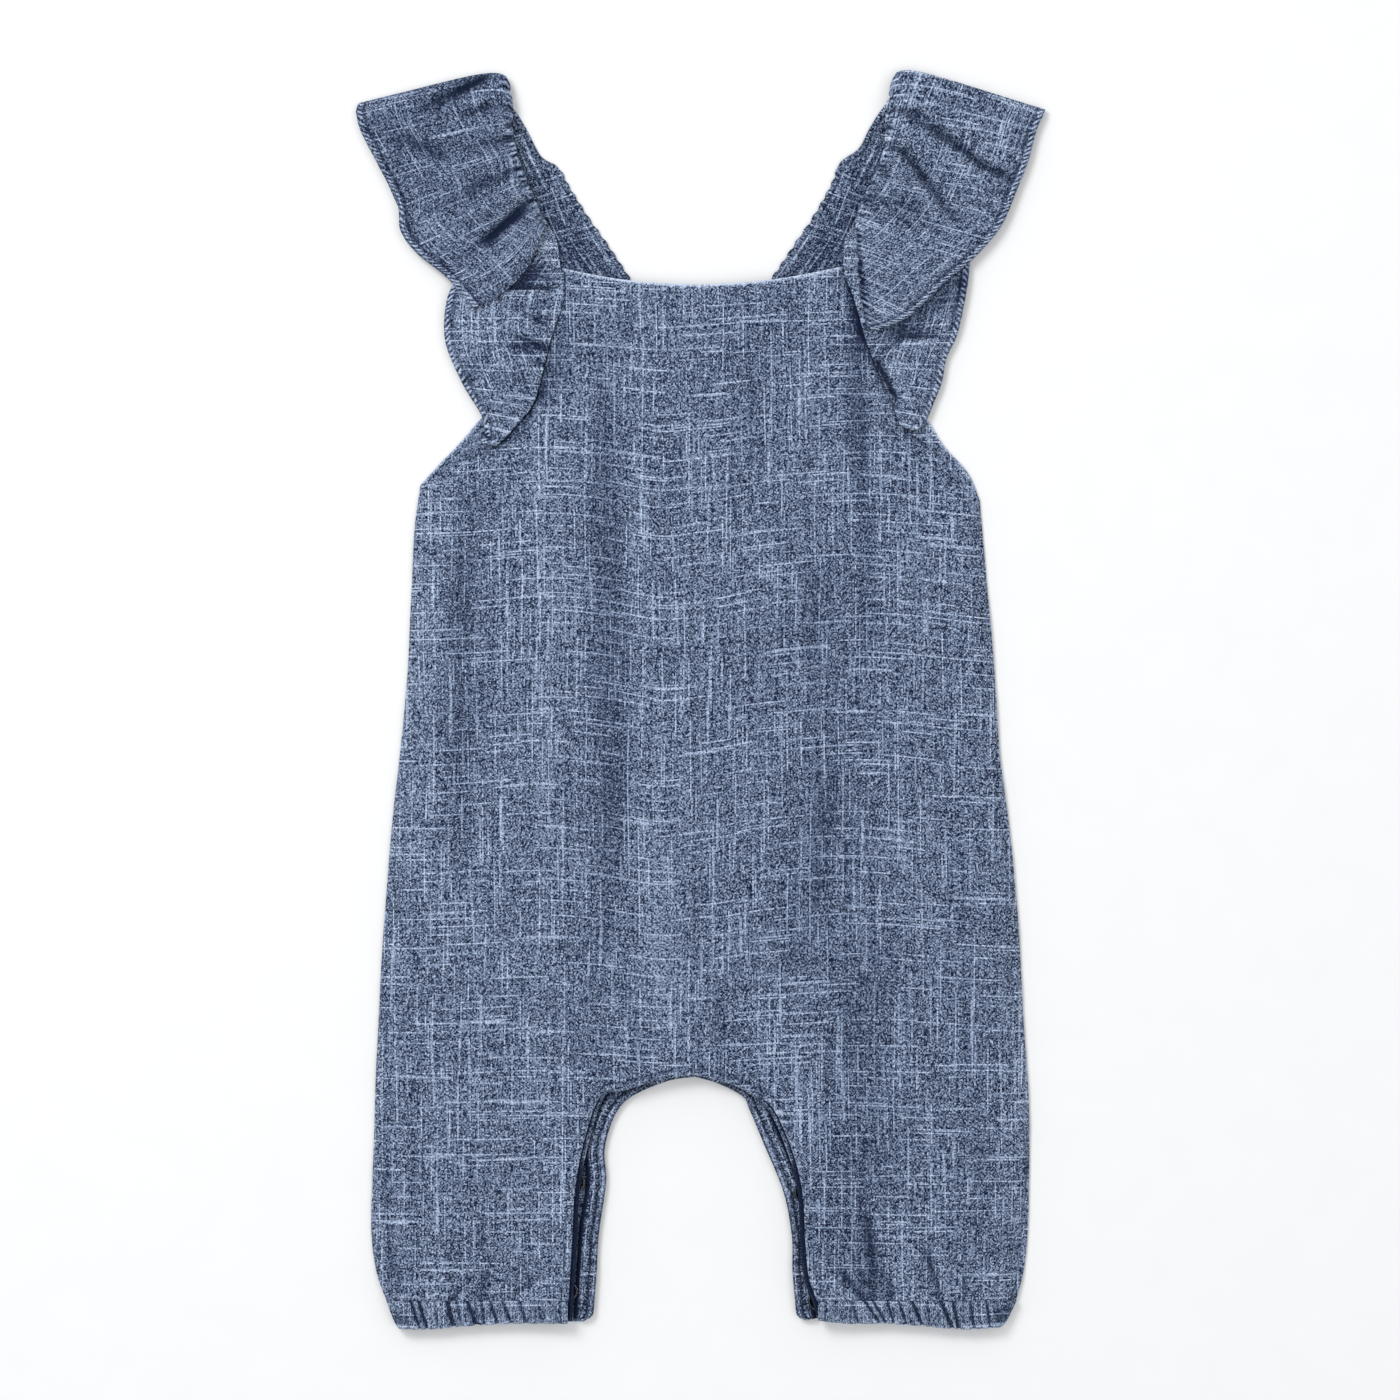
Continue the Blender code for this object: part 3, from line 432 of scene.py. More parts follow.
FRONT_RIGHT = {
    "leg": (
        (124, -240.2, 46.8, -240.2), (127, -229, 43.4, -230), (129, -214, 42, -215),
        (130.4, -197, 41, -197), (131.8, -180, 37, -180.6), (131.8, -163, 29, -163),
        (131, -148, 19.4, -156.4), (130.2, -137, 8, -152.2), (129.4, -125, -2, -149.8),
    ),
    "body": (
        (128.4, -105, -1.2, -124), (126.8, -80, -0.6, -95), (123.8, -50, 0, -60), (120.2, -22, 0, -25),
        (118.2, 8, 0, 10), (115.4, 41, 0, 42), (112.2, 58, 0, 68), (112, 76, 0, 88),
    ),
    "bib": (
        (103.2, 89, 0, 101), (92, 101.4, 0, 112), (81.6, 108.8, 0, 122), (77.2, 119.4, 0, 131),
        (68, 141, 0, 145), (62.6, 159, 0, 157), (57.2, 173.6, 0, 166.2),
    ),
}
FRONT_STEPS = {"leg": 92, "body": 92, "bib": 60}
FRONT_ENDS = ((0.02, 0.05, 0.09, 0.14), (0.015, 0.04, 0.07, 0.11, 0.16))
FRONT_ACROSS = 74
FRONT_LEG_POINTS = 500
BIB_SAG = 1.7  # dip of the bib's top edge below the straight line
BODY_TOP = 5.6  # heights of the outer face over the floor
BIB_TOP = 4.6
SIDE_TOP = 0.85
SIDE_TOP_HEM = 2.4
ARMHOLE_TOP = 4.0
SIDE_ROLL = 4.0
SIDE_ROLL_HEM = 1.8
PLACKET_LIFT = 1.4
CASING_LIFT = 2.4
LIFT_REACH = 13
# Stretches of y over which one form or look passes into the next.
BIB_RISE = (60, 140)
ARMHOLE_RISE = (88, 112)
BIB_CALM = (150, 168)
SAG_RISE = (152, 166)
TAIL_SHADE_RISE = (96, 104)
BOW_RISE, BOW_FALL = (-190, -70), (90, 165)
BINDING_RISE = (-60, -100)
STITCH_SHADE_ARCH, STITCH_SHADE_HEM = (-182, -172), (-212, -226)
PUCKER_RISE = (-205, -225)
CASING_RISE = (-222, -231)
BINDING_WIDTH = 2.6
STITCHES_IN = 2.9  # from the inside-leg edge to the line of stitches
TAIL_SHADE_Y, TAIL_SHADE_REACH = (116, 154), 18  # where the ruffle's lower end shades the bib most
BODY_CREASES = (
    (-58, 104, -61, -70, 9, 1.2), (-40, 108, -42, -100, 8, -1.2), (-88, 84, -93, -80, 7, -1.1),
    (-104, 40, -110, -120, 6, 0.7), (16, 150, 10, -60, 14, 0.7), (46, 120, 50, -40, 9, -1),
    (75, 104, 82, -90, 10, 1.1), (98, 60, 104, -110, 7, -0.8), (-30, -150, -18, -96, 6, 0.9),
    (22, -152, 14, -100, 6, 0.8), (-88, -120, -84, -215, 9, 0.8), (84, -120, 92, -215, 9, 0.9),
    (-101, -242, -91, -218, 3.6, -1), (-76, -240, -67, -228, 4, -0.9),
    (-112, -240, -112, -230, 3.4, -0.8), (91, -222, 94, -240, 3.6, -1.1),
    (56, -229, 65, -242, 3.8, -0.9), (110, -228, 112, -241, 3.4, -0.8),
)
# Finer creases on top of those: the side seams, pulls at the armholes and crotch, and the hem's gathers.
SMALL_CREASES = (
    (-119, -60, -125, -150, 2.4, -0.3), (-127, -150, -123.5, -228, 1.6, -0.35),
    (122, -100, 126, -170, 2, -0.3), (-108, 78, -84, 60, 4, 0.35), (104, 74, 86, 56, 4, 0.35),
    (-80, 96, -66, 70, 4, -0.3), (78, 102, 70, 78, 4, -0.3), (-58, -8, -34, -14, 3, 0.22),
    (38, 50, 52, 44, 3, -0.3), (64, 56, 80, 58, 3, 0.25), (-24, -142, -54, -118, 4, 0.35),
    (-34, -150, -68, -140, 3.4, -0.3), (10, -142, 38, -112, 4, 0.35), (26, -152, 60, -138, 3.4, -0.3),
    (-116, -241, -117, -226, 1.8, 0.5), (-106, -241, -104, -224, 2, 0.5),
    (-96, -242, -88, -224, 1.8, 0.5), (-88, -242, -86, -232, 1.6, -0.5),
    (-82, -242, -78, -230, 1.8, 0.4), (-70, -242, -60, -232, 2.2, 0.4), (60, -241, 52, -230, 2, 0.4),
    (70, -242, 62, -226, 2, -0.5), (77, -242, 74, -230, 1.6, -0.4), (84, -242, 82, -226, 2, 0.5),
    (99, -242, 97, -226, 2, 0.5), (105, -242, 106, -230, 1.6, -0.5), (116, -241, 118, -228, 1.8, 0.5),
)
# Painted highlights on broad folds and painted shade beside them, in the same form as the creases.
BODY_PAINTED_LIGHT = (
    (-38.5, 126, -35.5, -64, 7.5, -0.5), (-37, -66, -44, -124, 5, -0.25), (-93, 80, -98, -44, 7, -0.34),
    (-110, 66, -114, -110, 7, 0.4), (-60, 100, -62, -60, 9, 0.35), (-21, -56, -12, -144, 6.5, 0.9),
    (-12, 60, -14, -40, 10, 0.3), (19, 134, 19, 92, 7, -0.25), (54, -24, 39, -110, 7, -0.36),
    (46, 50, 45, 20, 5, -0.42), (68, 78, 66, 20, 4.5, -0.42), (85, 64, 88, 16, 7, 0.4),
    (61, 152, 65, 88, 4.5, -0.6), (-54, 150, -60, 118, 4, -0.35), (67, -96, 62, -224, 13, -0.32),
    (106, -60, 112, -226, 7, -0.16), (40, 20, 52, -60, 26, -0.1), (-30, -110, -24, -146, 3, -0.4),
    (6, -118, 10, -144, 3, -0.4), (67, -208, 70, -234, 2.2, -0.8), (56, -228, 68, -243, 1.8, -0.9),
    (50, -235, 62, -246, 2.4, 0.8), (90.5, -221, 97, -240, 1.6, -1.1), (84, -224, 88, -243, 2, 0.5),
    (-87.6, -214, -89.6, -229, 2, -0.45), (-90, -229.5, -100.4, -241.4, 1.2, -0.9),
    (-94, -228, -104.5, -241, 1.6, 0.5), (-64.8, -230.8, -74.8, -238, 1.1, -0.9),
    (-61, -230, -71, -240, 1.8, 0.5), (-122, -226, -118, -240, 2.2, -0.4),
    (131.6, -182, 129.4, -231, 1.7, -0.9), (128.4, -120, 126.6, -226, 0.8, 0.8),
)
# Where the cross threads bow up or down: x, width, height.
WEFT_BOWS = ((-62, 26, 2.6), (-14, 17, -3.4), (62, 42, 5.0), (8, 9, -1.0))

front_sides = np.vstack([chain(half, PATH_STEPS)[:, :2] for half in (FRONT_LEFT, FRONT_RIGHT)])
front_legs = [trace(half["leg"], FRONT_LEG_POINTS)[:, 2:] for half in (FRONT_LEFT, FRONT_RIGHT)]
front_inside = np.vstack(front_legs)


def front_top(x, y):
    """Height of the outer face of the front, and of the hem casings that carry it on."""
    hem = step(y, *HEM_RISE)
    full = BODY_TOP + (BIB_TOP - BODY_TOP) * step(y, *BIB_RISE)
    edge = SIDE_TOP + (SIDE_TOP_HEM - SIDE_TOP) * hem + (ARMHOLE_TOP - SIDE_TOP) * step(y, *ARMHOLE_RISE)
    roll = 1 - np.exp(-nearest(x, y, front_sides) / (SIDE_ROLL + (SIDE_ROLL_HEM - SIDE_ROLL) * hem))
    near = close(nearest(x, y, front_inside), LIFT_REACH)
    lift = PLACKET_LIFT + (CASING_LIFT - PLACKET_LIFT) * step(y, *CASING_RISE)
    calm = np.clip(1 - 0.9 * near - 0.6 * step(y, *BIB_CALM), 0, 1)
    folds = creases(BODY_CREASES, x, y) * roll * calm
    return edge + (full - edge) * roll + lift * near * roll + folds


def wear_and_painted_light_from(relief, wear_and_highlight=0, deep=0):
    """Wear and painted highlight on the ridges and painted shade in the troughs, where relief is in
    millimetres.
    """
    return vectors(wear_and_highlight + 0.22 * np.clip(relief, 0, 3), deep + 0.8 * np.clip(-relief, 0, 1.2), 0)


sheets = []
for half, leg, turned, tail_y in zip((FRONT_LEFT, FRONT_RIGHT), front_legs, (False, True), TAIL_SHADE_Y):
    run = chain(half, FRONT_STEPS, *FRONT_ENDS)
    share = across(run, FRONT_ACROSS)
    x, y = rule(run, share)
    sag = np.sin(math.pi * share) * BIB_SAG
    y = y - sag * step(y, *SAG_RISE)
    to_side = nearest(x, y, chain(half, PATH_STEPS)[:, :2])
    to_leg = nearest(x, y, leg)
    to_top = run[-1:, 1:2] * (1 - share[-1:]) + run[-1:, 3:] * share[-1:] - sag[-1:] - y
    to_hem = y - run[0, 1]
    armhole = step(y, *ARMHOLE_Y)
    handled = 0.16 * waver(x / 13, y / 46, 7) + 0.07 * waver(x / 5, y / 9, 8)
    small = creases(SMALL_CREASES, x, y) + handled
    small *= step(to_side, 0, 3) * (1 - 0.8 * close(to_leg, 4))
    binding = 0.3 * arch(to_leg, BINDING_WIDTH) - 0.3 * close(to_leg - STITCHES_IN, 0.45)
    z = front_top(x, y) + small + binding * step(y, *BINDING_RISE)
    z -= 0.7 * close(to_leg, 0.45) + 0.7 * close(to_top, 0.5) + 0.12 * close(to_hem, 0.8)
    z -= 0.6 * close(to_side, 1.1) * armhole
    bow = sum(rise * close(x - middle, width) for middle, width, rise in WEFT_BOWS)
    bow = bow * step(y, *BOW_RISE) * (1 - 0.7 * step(y, *BOW_FALL))
    # Painted highlights and painted shade on the folds and on the small creases, strongest over the
    # hem's puckers.
    tone = creases(BODY_PAINTED_LIGHT, x, y) + 0.3 * small * (1 + 3 * step(y, *PUCKER_RISE))
    wear_and_highlight = 2.0 * close(to_top, 0.9) * (1 - 0.3 * waver(x / 2, y, 4)) + 0.3 * close(to_leg, 0.5)
    wear_and_highlight += 0.12 * close(to_side, 1.0) * (1 - armhole)
    # Painted shade along the line of stitches by the inside legs, stronger at the arch and the hem,
    # along the armhole edge, and as the tail's shadow on the bib.
    stitch_shade = 0.25 + 0.5 * step(y, *STITCH_SHADE_HEM) + 0.4 * step(y, *STITCH_SHADE_ARCH)
    deep = stitch_shade * close(to_leg - STITCHES_IN, 0.5)
    deep += 0.35 * armhole * close(to_side, 1.0)
    tail_shade = (0.3 + 0.7 * close(y - tail_y, TAIL_SHADE_REACH)) * (1 + waver(x / 3, y / 6, 19))
    deep += step(y, *TAIL_SHADE_RISE) * close(to_side, 3.8) * tail_shade
    grain = vectors(x, y - bow, BOLT["front"])
    sheets.append((vectors(x, y, z), grain, wear_and_painted_light_from(tone, wear_and_highlight, deep), turned))
front = cloth("front_panel", "chambray", *sheets)

# ----------------------------------------
# Inside-leg plackets. Folded facings that carry the snaps, one under the front's edge and one on the
# back's. The front one hangs in the shade. The back one shows as two narrow rolls with a seam between.

SHADE_SHOW = 2.0  # width of the front placket seen past the panel's edge
PLACKET_WIDTH = 8.0
PLACKET_RUN = 8.0  # how far it runs on behind the hem casing
PLACKET_ROWS = 151
RUN_ROWS = (1, 0.9, 0.78, 0.65, 0.5, 0.3, 0.12)  # shares of that run
PLACKET_ACROSS = (0, 0.15, 0.4, 0.8, 1.2, 1.7, 2.2, 2.6, 2.9, 3.2, 3.5, 3.9, 4.5, 5.2, 6.0, 7.0, 8.0)
HEM_CORNER = 3.6  # rounding of the back placket's lower corner
PLACKET_SEAM = 2.9  # between the back placket's two rolls
ARCH_END = (-152, -162)  # y over which the arch passes into the legs
PLACKET_SHADE = (-178, -190)  # y over which the front placket falls into full shade
inward = np.array(PLACKET_ACROSS)[None, :]


def placket_points(half, beyond):
    """x and y of a placket along the inside-leg edge of a half panel, moved out below the arch and
    carried on to the hem, then its outward direction and the length along it."""
    edge = trace(half["leg"], PLACKET_ROWS)[:, 2:]
    down = (edge[:1] - edge[1:2]) / np.linalg.norm(edge[0] - edge[1])
    edge[-1, 0] += np.sign(edge[0, 0]) * 0.5
    run_on = np.array(RUN_ROWS)[:, None] * PLACKET_RUN
    edge = np.vstack([edge[:1] + down * run_on, edge])
    ahead = np.gradient(edge, axis=0)
    ahead /= np.linalg.norm(ahead, axis=1)[:, None]
    out = np.stack([ahead[:, 1], -ahead[:, 0]], axis=1) * -np.sign(edge[0, 0])
    edge = edge + out * beyond * step(edge[:, 1:], *ARCH_END)
    x, y = (edge[:, k, None] - out[:, k, None] * inward for k in range(2))
    return x, y, out, lengths(edge)


def hem_wall(y):
    """Height that a panel takes up under a placket, and more of it at the hem."""
    return 1.2 + 0.4 * step(y, *CASING_RISE)


for side, front_half, back_half in (("left", FRONT_LEFT, BACK_LEFT), ("right", FRONT_RIGHT, BACK_RIGHT)):
    x, y, out, length = placket_points(front_half, SHADE_SHOW)
    z = front_top(x, y) - 0.5 - hem_wall(y) - 0.9 * close(inward, 0.6)
    grain = vectors(inward, length, BOLT["placket_front"])
    # Painted shade: a little over all of it, full past its outer strip, where the front's edge covers
    # it, and full towards the hem. A thin painted highlight lies along the outer strip.
    deep = 0.2 + 1.1 * step(inward, 1.1, 1.7) + 0.9 * step(y, *PLACKET_SHADE)
    wear_and_painted_light = vectors(0.2 * close(inward - 0.5, 0.5), deep, 0)
    sheet = (vectors(x, y, z), grain, wear_and_painted_light, side == "left")
    placket = cloth(f"placket_front_{side}", "chambray_wrong_side", sheet)

    x, y, out, length = placket_points(back_half, 0)
    corner = np.clip(1 - (length - length[0]) / HEM_CORNER, 0, 1)
    pull = HEM_CORNER * (1 - np.sqrt(1 - corner**2)) * (1 - inward / PLACKET_WIDTH)
    x = x - out[:, 0, None] * pull
    outer_roll = arch(inward + 0.4, PLACKET_SEAM + 0.4)
    inner_roll = arch(inward - PLACKET_SEAM, 3.6)
    z = hem_wall(y) + 0.5 + 0.85 * outer_roll + 0.8 * inner_roll + 0.08 * waver(x / 2, y / 4, 5)
    grain = vectors(inward, length, BOLT["placket_back"])
    # Painted highlights on the crests of its two rolls. Painted shade at its outer rim, in the seam
    # between the rolls, and full on its far side, next to the front's edge.
    wear_and_highlight = 0.15 * close(inward - 1.4, 0.9) + 0.1 * close(inward - 4.6, 0.8)
    deep = 0.1 + 0.25 * close(inward, 0.6) + 0.8 * close(inward - PLACKET_SEAM, 0.45)
    wear_and_painted_light = vectors(wear_and_highlight, deep + 1.15 * step(inward, 5.7, 6.8), 0 * y)
    sheet = (vectors(x, y, z), grain, wear_and_painted_light, side == "left")
    placket = cloth(f"placket_back_{side}", "chambray_wrong_side", sheet)

# ----------------------------------------
# Snaps. Small press fasteners in dark gunmetal, a ringed cap with a domed middle, riveted to the back
# placket. Two on each inside leg show as a glint beside the front's edge.

SNAP_SIDES = 48
# Radius and height of the profile, from the middle of the top round the rim to the floor.
SNAP_PROFILE = (
    (0, 0.78), (0.6, 0.8), (1.1, 0.76), (1.5, 0.62), (1.8, 0.45), (2.2, 0.38), (2.6, 0.42), (2.9, 0.66),
    (3.2, 0.84), (3.5, 0.9), (3.8, 0.84), (3.95, 0.66), (4, 0.45), (3.9, 0.2), (3.7, 0), (0, 0),
)
GUNMETAL = (0.012, 0.012, 0.014, 1)
PAINTED_GLINT = (0.7, 0.72, 0.76, 1)

gunmetal, finish, plate = new_material("gunmetal")
# Sparse bright spots of this noise are painted on the dark metal as glints; the same noise also varies
# its roughness and dents it.
glints_and_scuffs = plate.node("TexNoise", {"Scale": 320.0, "Detail": 1.0})
glints_and_scuffs.rise(0.6, 0.7).blend(GUNMETAL, PAINTED_GLINT).into(finish, "Base Color")
(glints_and_scuffs * 0.2 + 0.12).into(finish, "Roughness")
relief = plate.node("Bump", {"Height": glints_and_scuffs, "Strength": 0.15, "Distance": 0.0001})
relief.into(finish, "Normal")
finish.inputs["Metallic"].default_value = 1.0

turn = np.linspace(0, 2 * math.pi, SNAP_SIDES, endpoint=False)
for node in ("snap_left_1", "snap_left_2", "snap_right_1", "snap_right_2"):
    low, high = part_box(node)
    middle = (low + high) / 2
    rings = [(r * MM, h * MM) for r, h in SNAP_PROFILE[1:-1]]
    points = [(middle.x, middle.y, low.z + SNAP_PROFILE[0][1] * MM)]
    for r, h in rings:
        points += [(middle.x + r * math.cos(a), middle.y + r * math.sin(a), low.z + h) for a in turn]
    points.append((middle.x, middle.y, low.z))
    faces = []
    for k in range(SNAP_SIDES):
        after = (k + 1) % SNAP_SIDES
        faces.append((0, 1 + k, 1 + after))
        for ring in range(len(rings) - 1):
            a = 1 + ring * SNAP_SIDES
            faces.append((a + k, a + SNAP_SIDES + k, a + SNAP_SIDES + after, a + after))
        a = 1 + (len(rings) - 1) * SNAP_SIDES
        faces.append((a + after, a + k, len(points) - 1))
    mesh = bpy.data.meshes.new(f"{node}_cap")
    mesh.from_pydata(points, [], faces)
    mesh.shade_smooth()
    mesh.materials.append(gunmetal)
    cap = put(mesh.name, mesh)
    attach(cap, "root")
    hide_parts(node)

# ----------------------------------------
# Shoulder straps. Lined bands of chambray from the bib's corners up under the ruffles, round the
# shoulder fold and down to the back bib, where their inner face shows, painted darker as shade under
# the ruffles. Rows give the armhole edge x, y, the neck edge x, y and the height of the outer face.

STRAP_LEFT = {
    "front": (
        (-66, 165, -54.4, 165.4, 2.7), (-68, 174, -56, 174, 2.7), (-70, 184, -57.6, 184.6, 2.7),
        (-73, 193, -61.6, 191.4, 2.7), (-78, 204, -67, 200.4, 2.7), (-84, 217, -73, 214, 2.7),
        (-88.6, 232, -76.6, 236.4, 2.7),
    ),
    "fold": (
        (-88.8, 233.6, -76.2, 238, 2.2), (-89, 234.4, -75.9, 238.8, 1.35),
        (-89, 233.8, -75.6, 238.4, 0.4), (-88.9, 232.6, -75, 237.4, 0),
    ),
    "back": (
        (-85.6, 223, -69.6, 228, 0), (-81, 212, -64, 217.6, 0), (-77.6, 205, -57, 213, 0),
        (-74.4, 198, -52.8, 205.6, 0), (-70, 186, -44.8, 192.8, 0), (-65.5, 177, -38.8, 184.4, 0),
        (-56, 163, -30, 171.2, 0), (-46, 151, -20, 155.5, 0), (-37, 141.1, -10, 141.1, 0),
    ),
}
STRAP_RIGHT = {
    "front": (
        (68, 165.4, 56.2, 165.8, 2.7), (69, 174, 57.4, 174.6, 2.7), (70.6, 184, 58.2, 184.6, 2.7),
        (73.4, 193, 61.8, 191.4, 2.7), (78.4, 204, 67.2, 201.6, 2.7), (84.4, 217, 73.4, 214.6, 2.7),
        (89, 232, 77, 236.4, 2.7),
    ),
    "fold": (
        (89.2, 233.6, 76.6, 238.6, 2.2), (89.4, 234.4, 76.2, 239.8, 1.35),
        (89.4, 233.8, 75.8, 239.2, 0.4), (89.3, 232.6, 74.2, 238.6, 0),
    ),
    "back": (
        (86, 223, 68, 228.4, 0), (81.4, 212, 63.8, 220.6, 0), (78, 205, 56.4, 215, 0),
        (74.6, 198, 53, 206.6, 0), (70.2, 186, 46, 194, 0), (65.7, 177, 39.8, 184.8, 0),
        (56.2, 163, 31.2, 172, 0), (46, 151, 20, 156, 0), (37, 141.1, 10, 141.1, 0),
    ),
}
STRAP_STEPS = {"front": 60, "fold": 14, "back": 150}
STRAP_ACROSS = np.concatenate([np.linspace(0, 0.86, 26), np.linspace(0.88, 1, 14)])
BACK_START = (74, 80)  # rows over which the back's looks begin
SCALLOP = 5.2  # length of one scallop of the bound neck edge
SCALLOP_RISE = (216, 211)  # y over which they begin

for side, rows in (("left", STRAP_LEFT), ("right", STRAP_RIGHT)):
    run = chain(rows, STRAP_STEPS)
    share = STRAP_ACROSS[None, :] + np.zeros((len(run), 1))
    width = np.hypot(run[:, 2] - run[:, 0], run[:, 3] - run[:, 1])[:, None]
    length = lengths((run[:, :2] + run[:, 2:4]) / 2)
    back_part = step(np.arange(len(run))[:, None], *BACK_START)
    to_neck = (1 - share) * width
    bumps = np.sin(2 * math.pi * (length + 1.3 * np.sin(length / 9)) / SCALLOP)
    bumps *= step(run[:, 3:4], *SCALLOP_RISE)
    x, y = rule(run[:, :4], share * (1 + back_part * 0.35 * bumps * close(to_neck, 1.2) / width))
    roll = arch(to_neck, 1.8) * back_part
    lift = 0.2 + 0.45 * roll + 0.12 * waver(x / 6, y / 6, 9) - 0.12 * close(to_neck - 2.2, 0.4)
    z = np.maximum(run[:, 4:5] + back_part * lift, 0)
    bands = 0.45 * close(to_neck - 2.7, 0.55) + 0.25 * close(to_neck - 0.8, 0.4)
    wear_and_highlight = back_part * bands + 0.35 * (1 - back_part)
    # Painted shade over the back part: a line beside the neck binding's seam, and more away from the
    # neck edge, towards the ruffle.
    deep = back_part * (0.24 + 0.35 * close(to_neck - 1.9, 0.4) + 0.35 * (1 - close(share - 1, 0.6)))
    grain = vectors(share * width, length, BOLT["strap"])
    sheet = (vectors(x, y, z), grain, vectors(wear_and_highlight, deep, 0), side == "right")
    strap = cloth(f"strap_{side}", "chambray_wrong_side", sheet)

# ----------------------------------------
# Shoulder ruffles. A wide strip of chambray on each strap, gathered along the neck side, with a thick
# rolled hem outside. It folds over the shoulder and runs down the back. Rows give the gathered edge
# x, y, z, the hem x, y, z, how far the strip bows between them, and how the bow leans.

RUFFLE_LEFT = {
    "front": (
        (-62.6, 188.6, 6.2, -90.8, 156.4, 5, -5.8, 1), (-63.8, 194, 6.4, -100.8, 168.4, 4.6, -3, 1),
        (-66.4, 201, 6.3, -113.6, 179, 4.2, 0, 1), (-69.6, 208.5, 6.3, -119.9, 188, 3.9, 0, 1),
        (-72.6, 216.5, 6.2, -121.2, 198.6, 3.7, 0, 0.8), (-75, 226, 6, -128.8, 214, 3.5, 1, 0.6),
        (-75, 236, 5.8, -135.8, 227.6, 3.4, 3.2, 0.5), (-75.8, 243.8, 5.2, -137.8, 235.4, 3.2, 4.6, 0.4),
    ),
    "fold": (
        (-76.6, 247, 3.6, -136.9, 238.4, 2.2, 4.6, 0.38),
        (-78.2, 247.4, 1.2, -135.4, 239.4, 0.9, 4.6, 0.38), (-82, 245.4, 0, -134.4, 238.2, 0, 5, 0.4),
    ),
    "back": (
        (-92, 236, 0, -134.4, 229, 0, 3, 0.6), (-87.6, 222, 0, -127.6, 213, 0, 0, 1),
        (-78.4, 203, 0, -117.4, 191, 0, 0, 1), (-72.4, 188, 0, -104, 175, 0, 0, 1),
    ),
}
RUFFLE_RIGHT = {
    "front": (
        (67.4, 149.4, 6.1, 70.6, 147.4, 6, 0, 1), (64.4, 163, 6.2, 84, 153.6, 5.5, -0.6, 1),
        (63.2, 178, 6.4, 98, 166.8, 5, -0.8, 1), (62.8, 192, 6.4, 109.8, 177, 4.4, -0.6, 1),
        (67.4, 204.8, 6.2, 120.4, 189.4, 4, 0, 1), (71.8, 214, 6.4, 126.8, 204, 3.7, 0, 0.8),
        (74.2, 224, 6.3, 131.4, 215.6, 3.5, 1, 0.6), (74.6, 236, 6, 134.6, 227.6, 3.4, 2.5, 0.5),
        (76.2, 245, 5.2, 137.4, 234, 3.2, 4.4, 0.42),
    ),
    "fold": (
        (77.4, 248.6, 3.6, 138.2, 236.2, 2.2, 4.4, 0.38), (79, 248.8, 1.2, 138, 236.4, 0.9, 4.4, 0.38),
        (82.6, 246, 0, 137, 234.6, 0, 4.4, 0.42),
    ),
    "back": (
        (92.4, 236, 0, 133.4, 226, 0, 3, 0.6), (87.8, 222, 0, 129.4, 214, 0, 0, 1),
        (78.6, 203, 0, 120, 194, 0, 0, 1), (72.6, 188, 0, 108, 179, 0, 0, 1),
    ),
}
RUFFLE_STEPS = {"front": 380, "fold": 40, "back": 120}
HEM_ROLL = 3.0  # width of the rolled hem
RIB_PITCH = 2.1  # length of one twist of the rolled hem
RUFFLE_ACROSS = np.concatenate([np.linspace(0, 0.12, 10), np.linspace(0.14, 0.9, 34)])
HEM_ACROSS = np.array((5.0, 4.4, 3.9, 3.5, 3.15, 2.8, 2.4, 2.0, 1.6, 1.2, 0.8, 0.45, 0.2, 0))
RUFFLE_LEFT_CREASES = (
    (-87, 249, -112, 236, 2.6, -1.1), (-84, 243, -110, 231, 3.4, 0.9), (-78, 238.5, -94, 234, 2.2, -1),
    (-76, 232, -96, 227, 2.2, 0.9), (-75, 224, -90, 221, 2, -0.9), (-74, 219, -104, 211, 3, 1),
    (-72, 212, -94, 204, 2.4, -1), (-69, 205, -98, 192, 3.2, 1.9, 0.5), (-68, 197, -85, 184, 1.8, -1.2),
    (-64, 192, -92, 168, 4.2, 1.2), (-104, 218, -120, 224, 3.4, -0.7),
)
RUFFLE_RIGHT_CREASES = (
    (79, 243, 118, 226, 4, 0.8), (80, 236, 124, 208, 1.8, -1.3), (78, 231, 116, 207, 3.2, 1.2, 0.6),
    (77, 226, 104, 191, 1.7, -1.4), (74, 219, 98, 188, 3.2, 1.3, 0.6), (72, 212, 84, 194, 2.2, -1.2),
    (68, 204, 80, 186, 3, 1), (66, 200, 72, 192, 1.8, -0.8), (64, 188, 66, 160, 2.2, -0.5),
    (72, 180, 92, 166, 5, 0.6),
)
# Sharper folds and the small puckers that start at the gathering stitches.
FINE_LEFT = (
    (-86, 248.8, -97, 243.6, 1.2, -0.9), (-94, 246, -110, 237.6, 1.8, -0.5),
    (-84.4, 238.4, -92.4, 234.2, 1.1, -0.9), (-80, 242, -92, 238, 1.4, 0.45),
    (-75, 225.5, -80, 223.4, 0.8, -0.9), (-74.4, 218.6, -79.6, 217, 0.8, -0.9),
    (-74, 221.8, -82, 219.8, 1.1, 0.5), (-76, 230, -84, 228, 1.2, 0.45),
    (-72.6, 213, -78, 210.6, 0.9, -0.7), (-72, 208, -84, 204, 1.2, 0.4),
    (-69.6, 206.2, -78, 201.6, 0.9, -0.8), (-67.4, 200.4, -79, 190.6, 1.2, -1),
    (-80, 189, -95, 177, 1.4, -0.5), (-64.6, 196.6, -80, 184, 2, 0.8),
    (-63.4, 190.6, -70, 182, 1.3, -0.4), (-131, 227, -117, 222.4, 2.2, -0.35),
    (-114, 222.2, -104, 217, 2, -0.35), (-116, 195, -102, 198, 2.6, -0.4),
    (-102, 198, -84, 206, 2, -0.4), (-106, 206, -92, 210, 2.4, 0.3), (-104, 180, -94, 188, 2.4, 0.3),
)
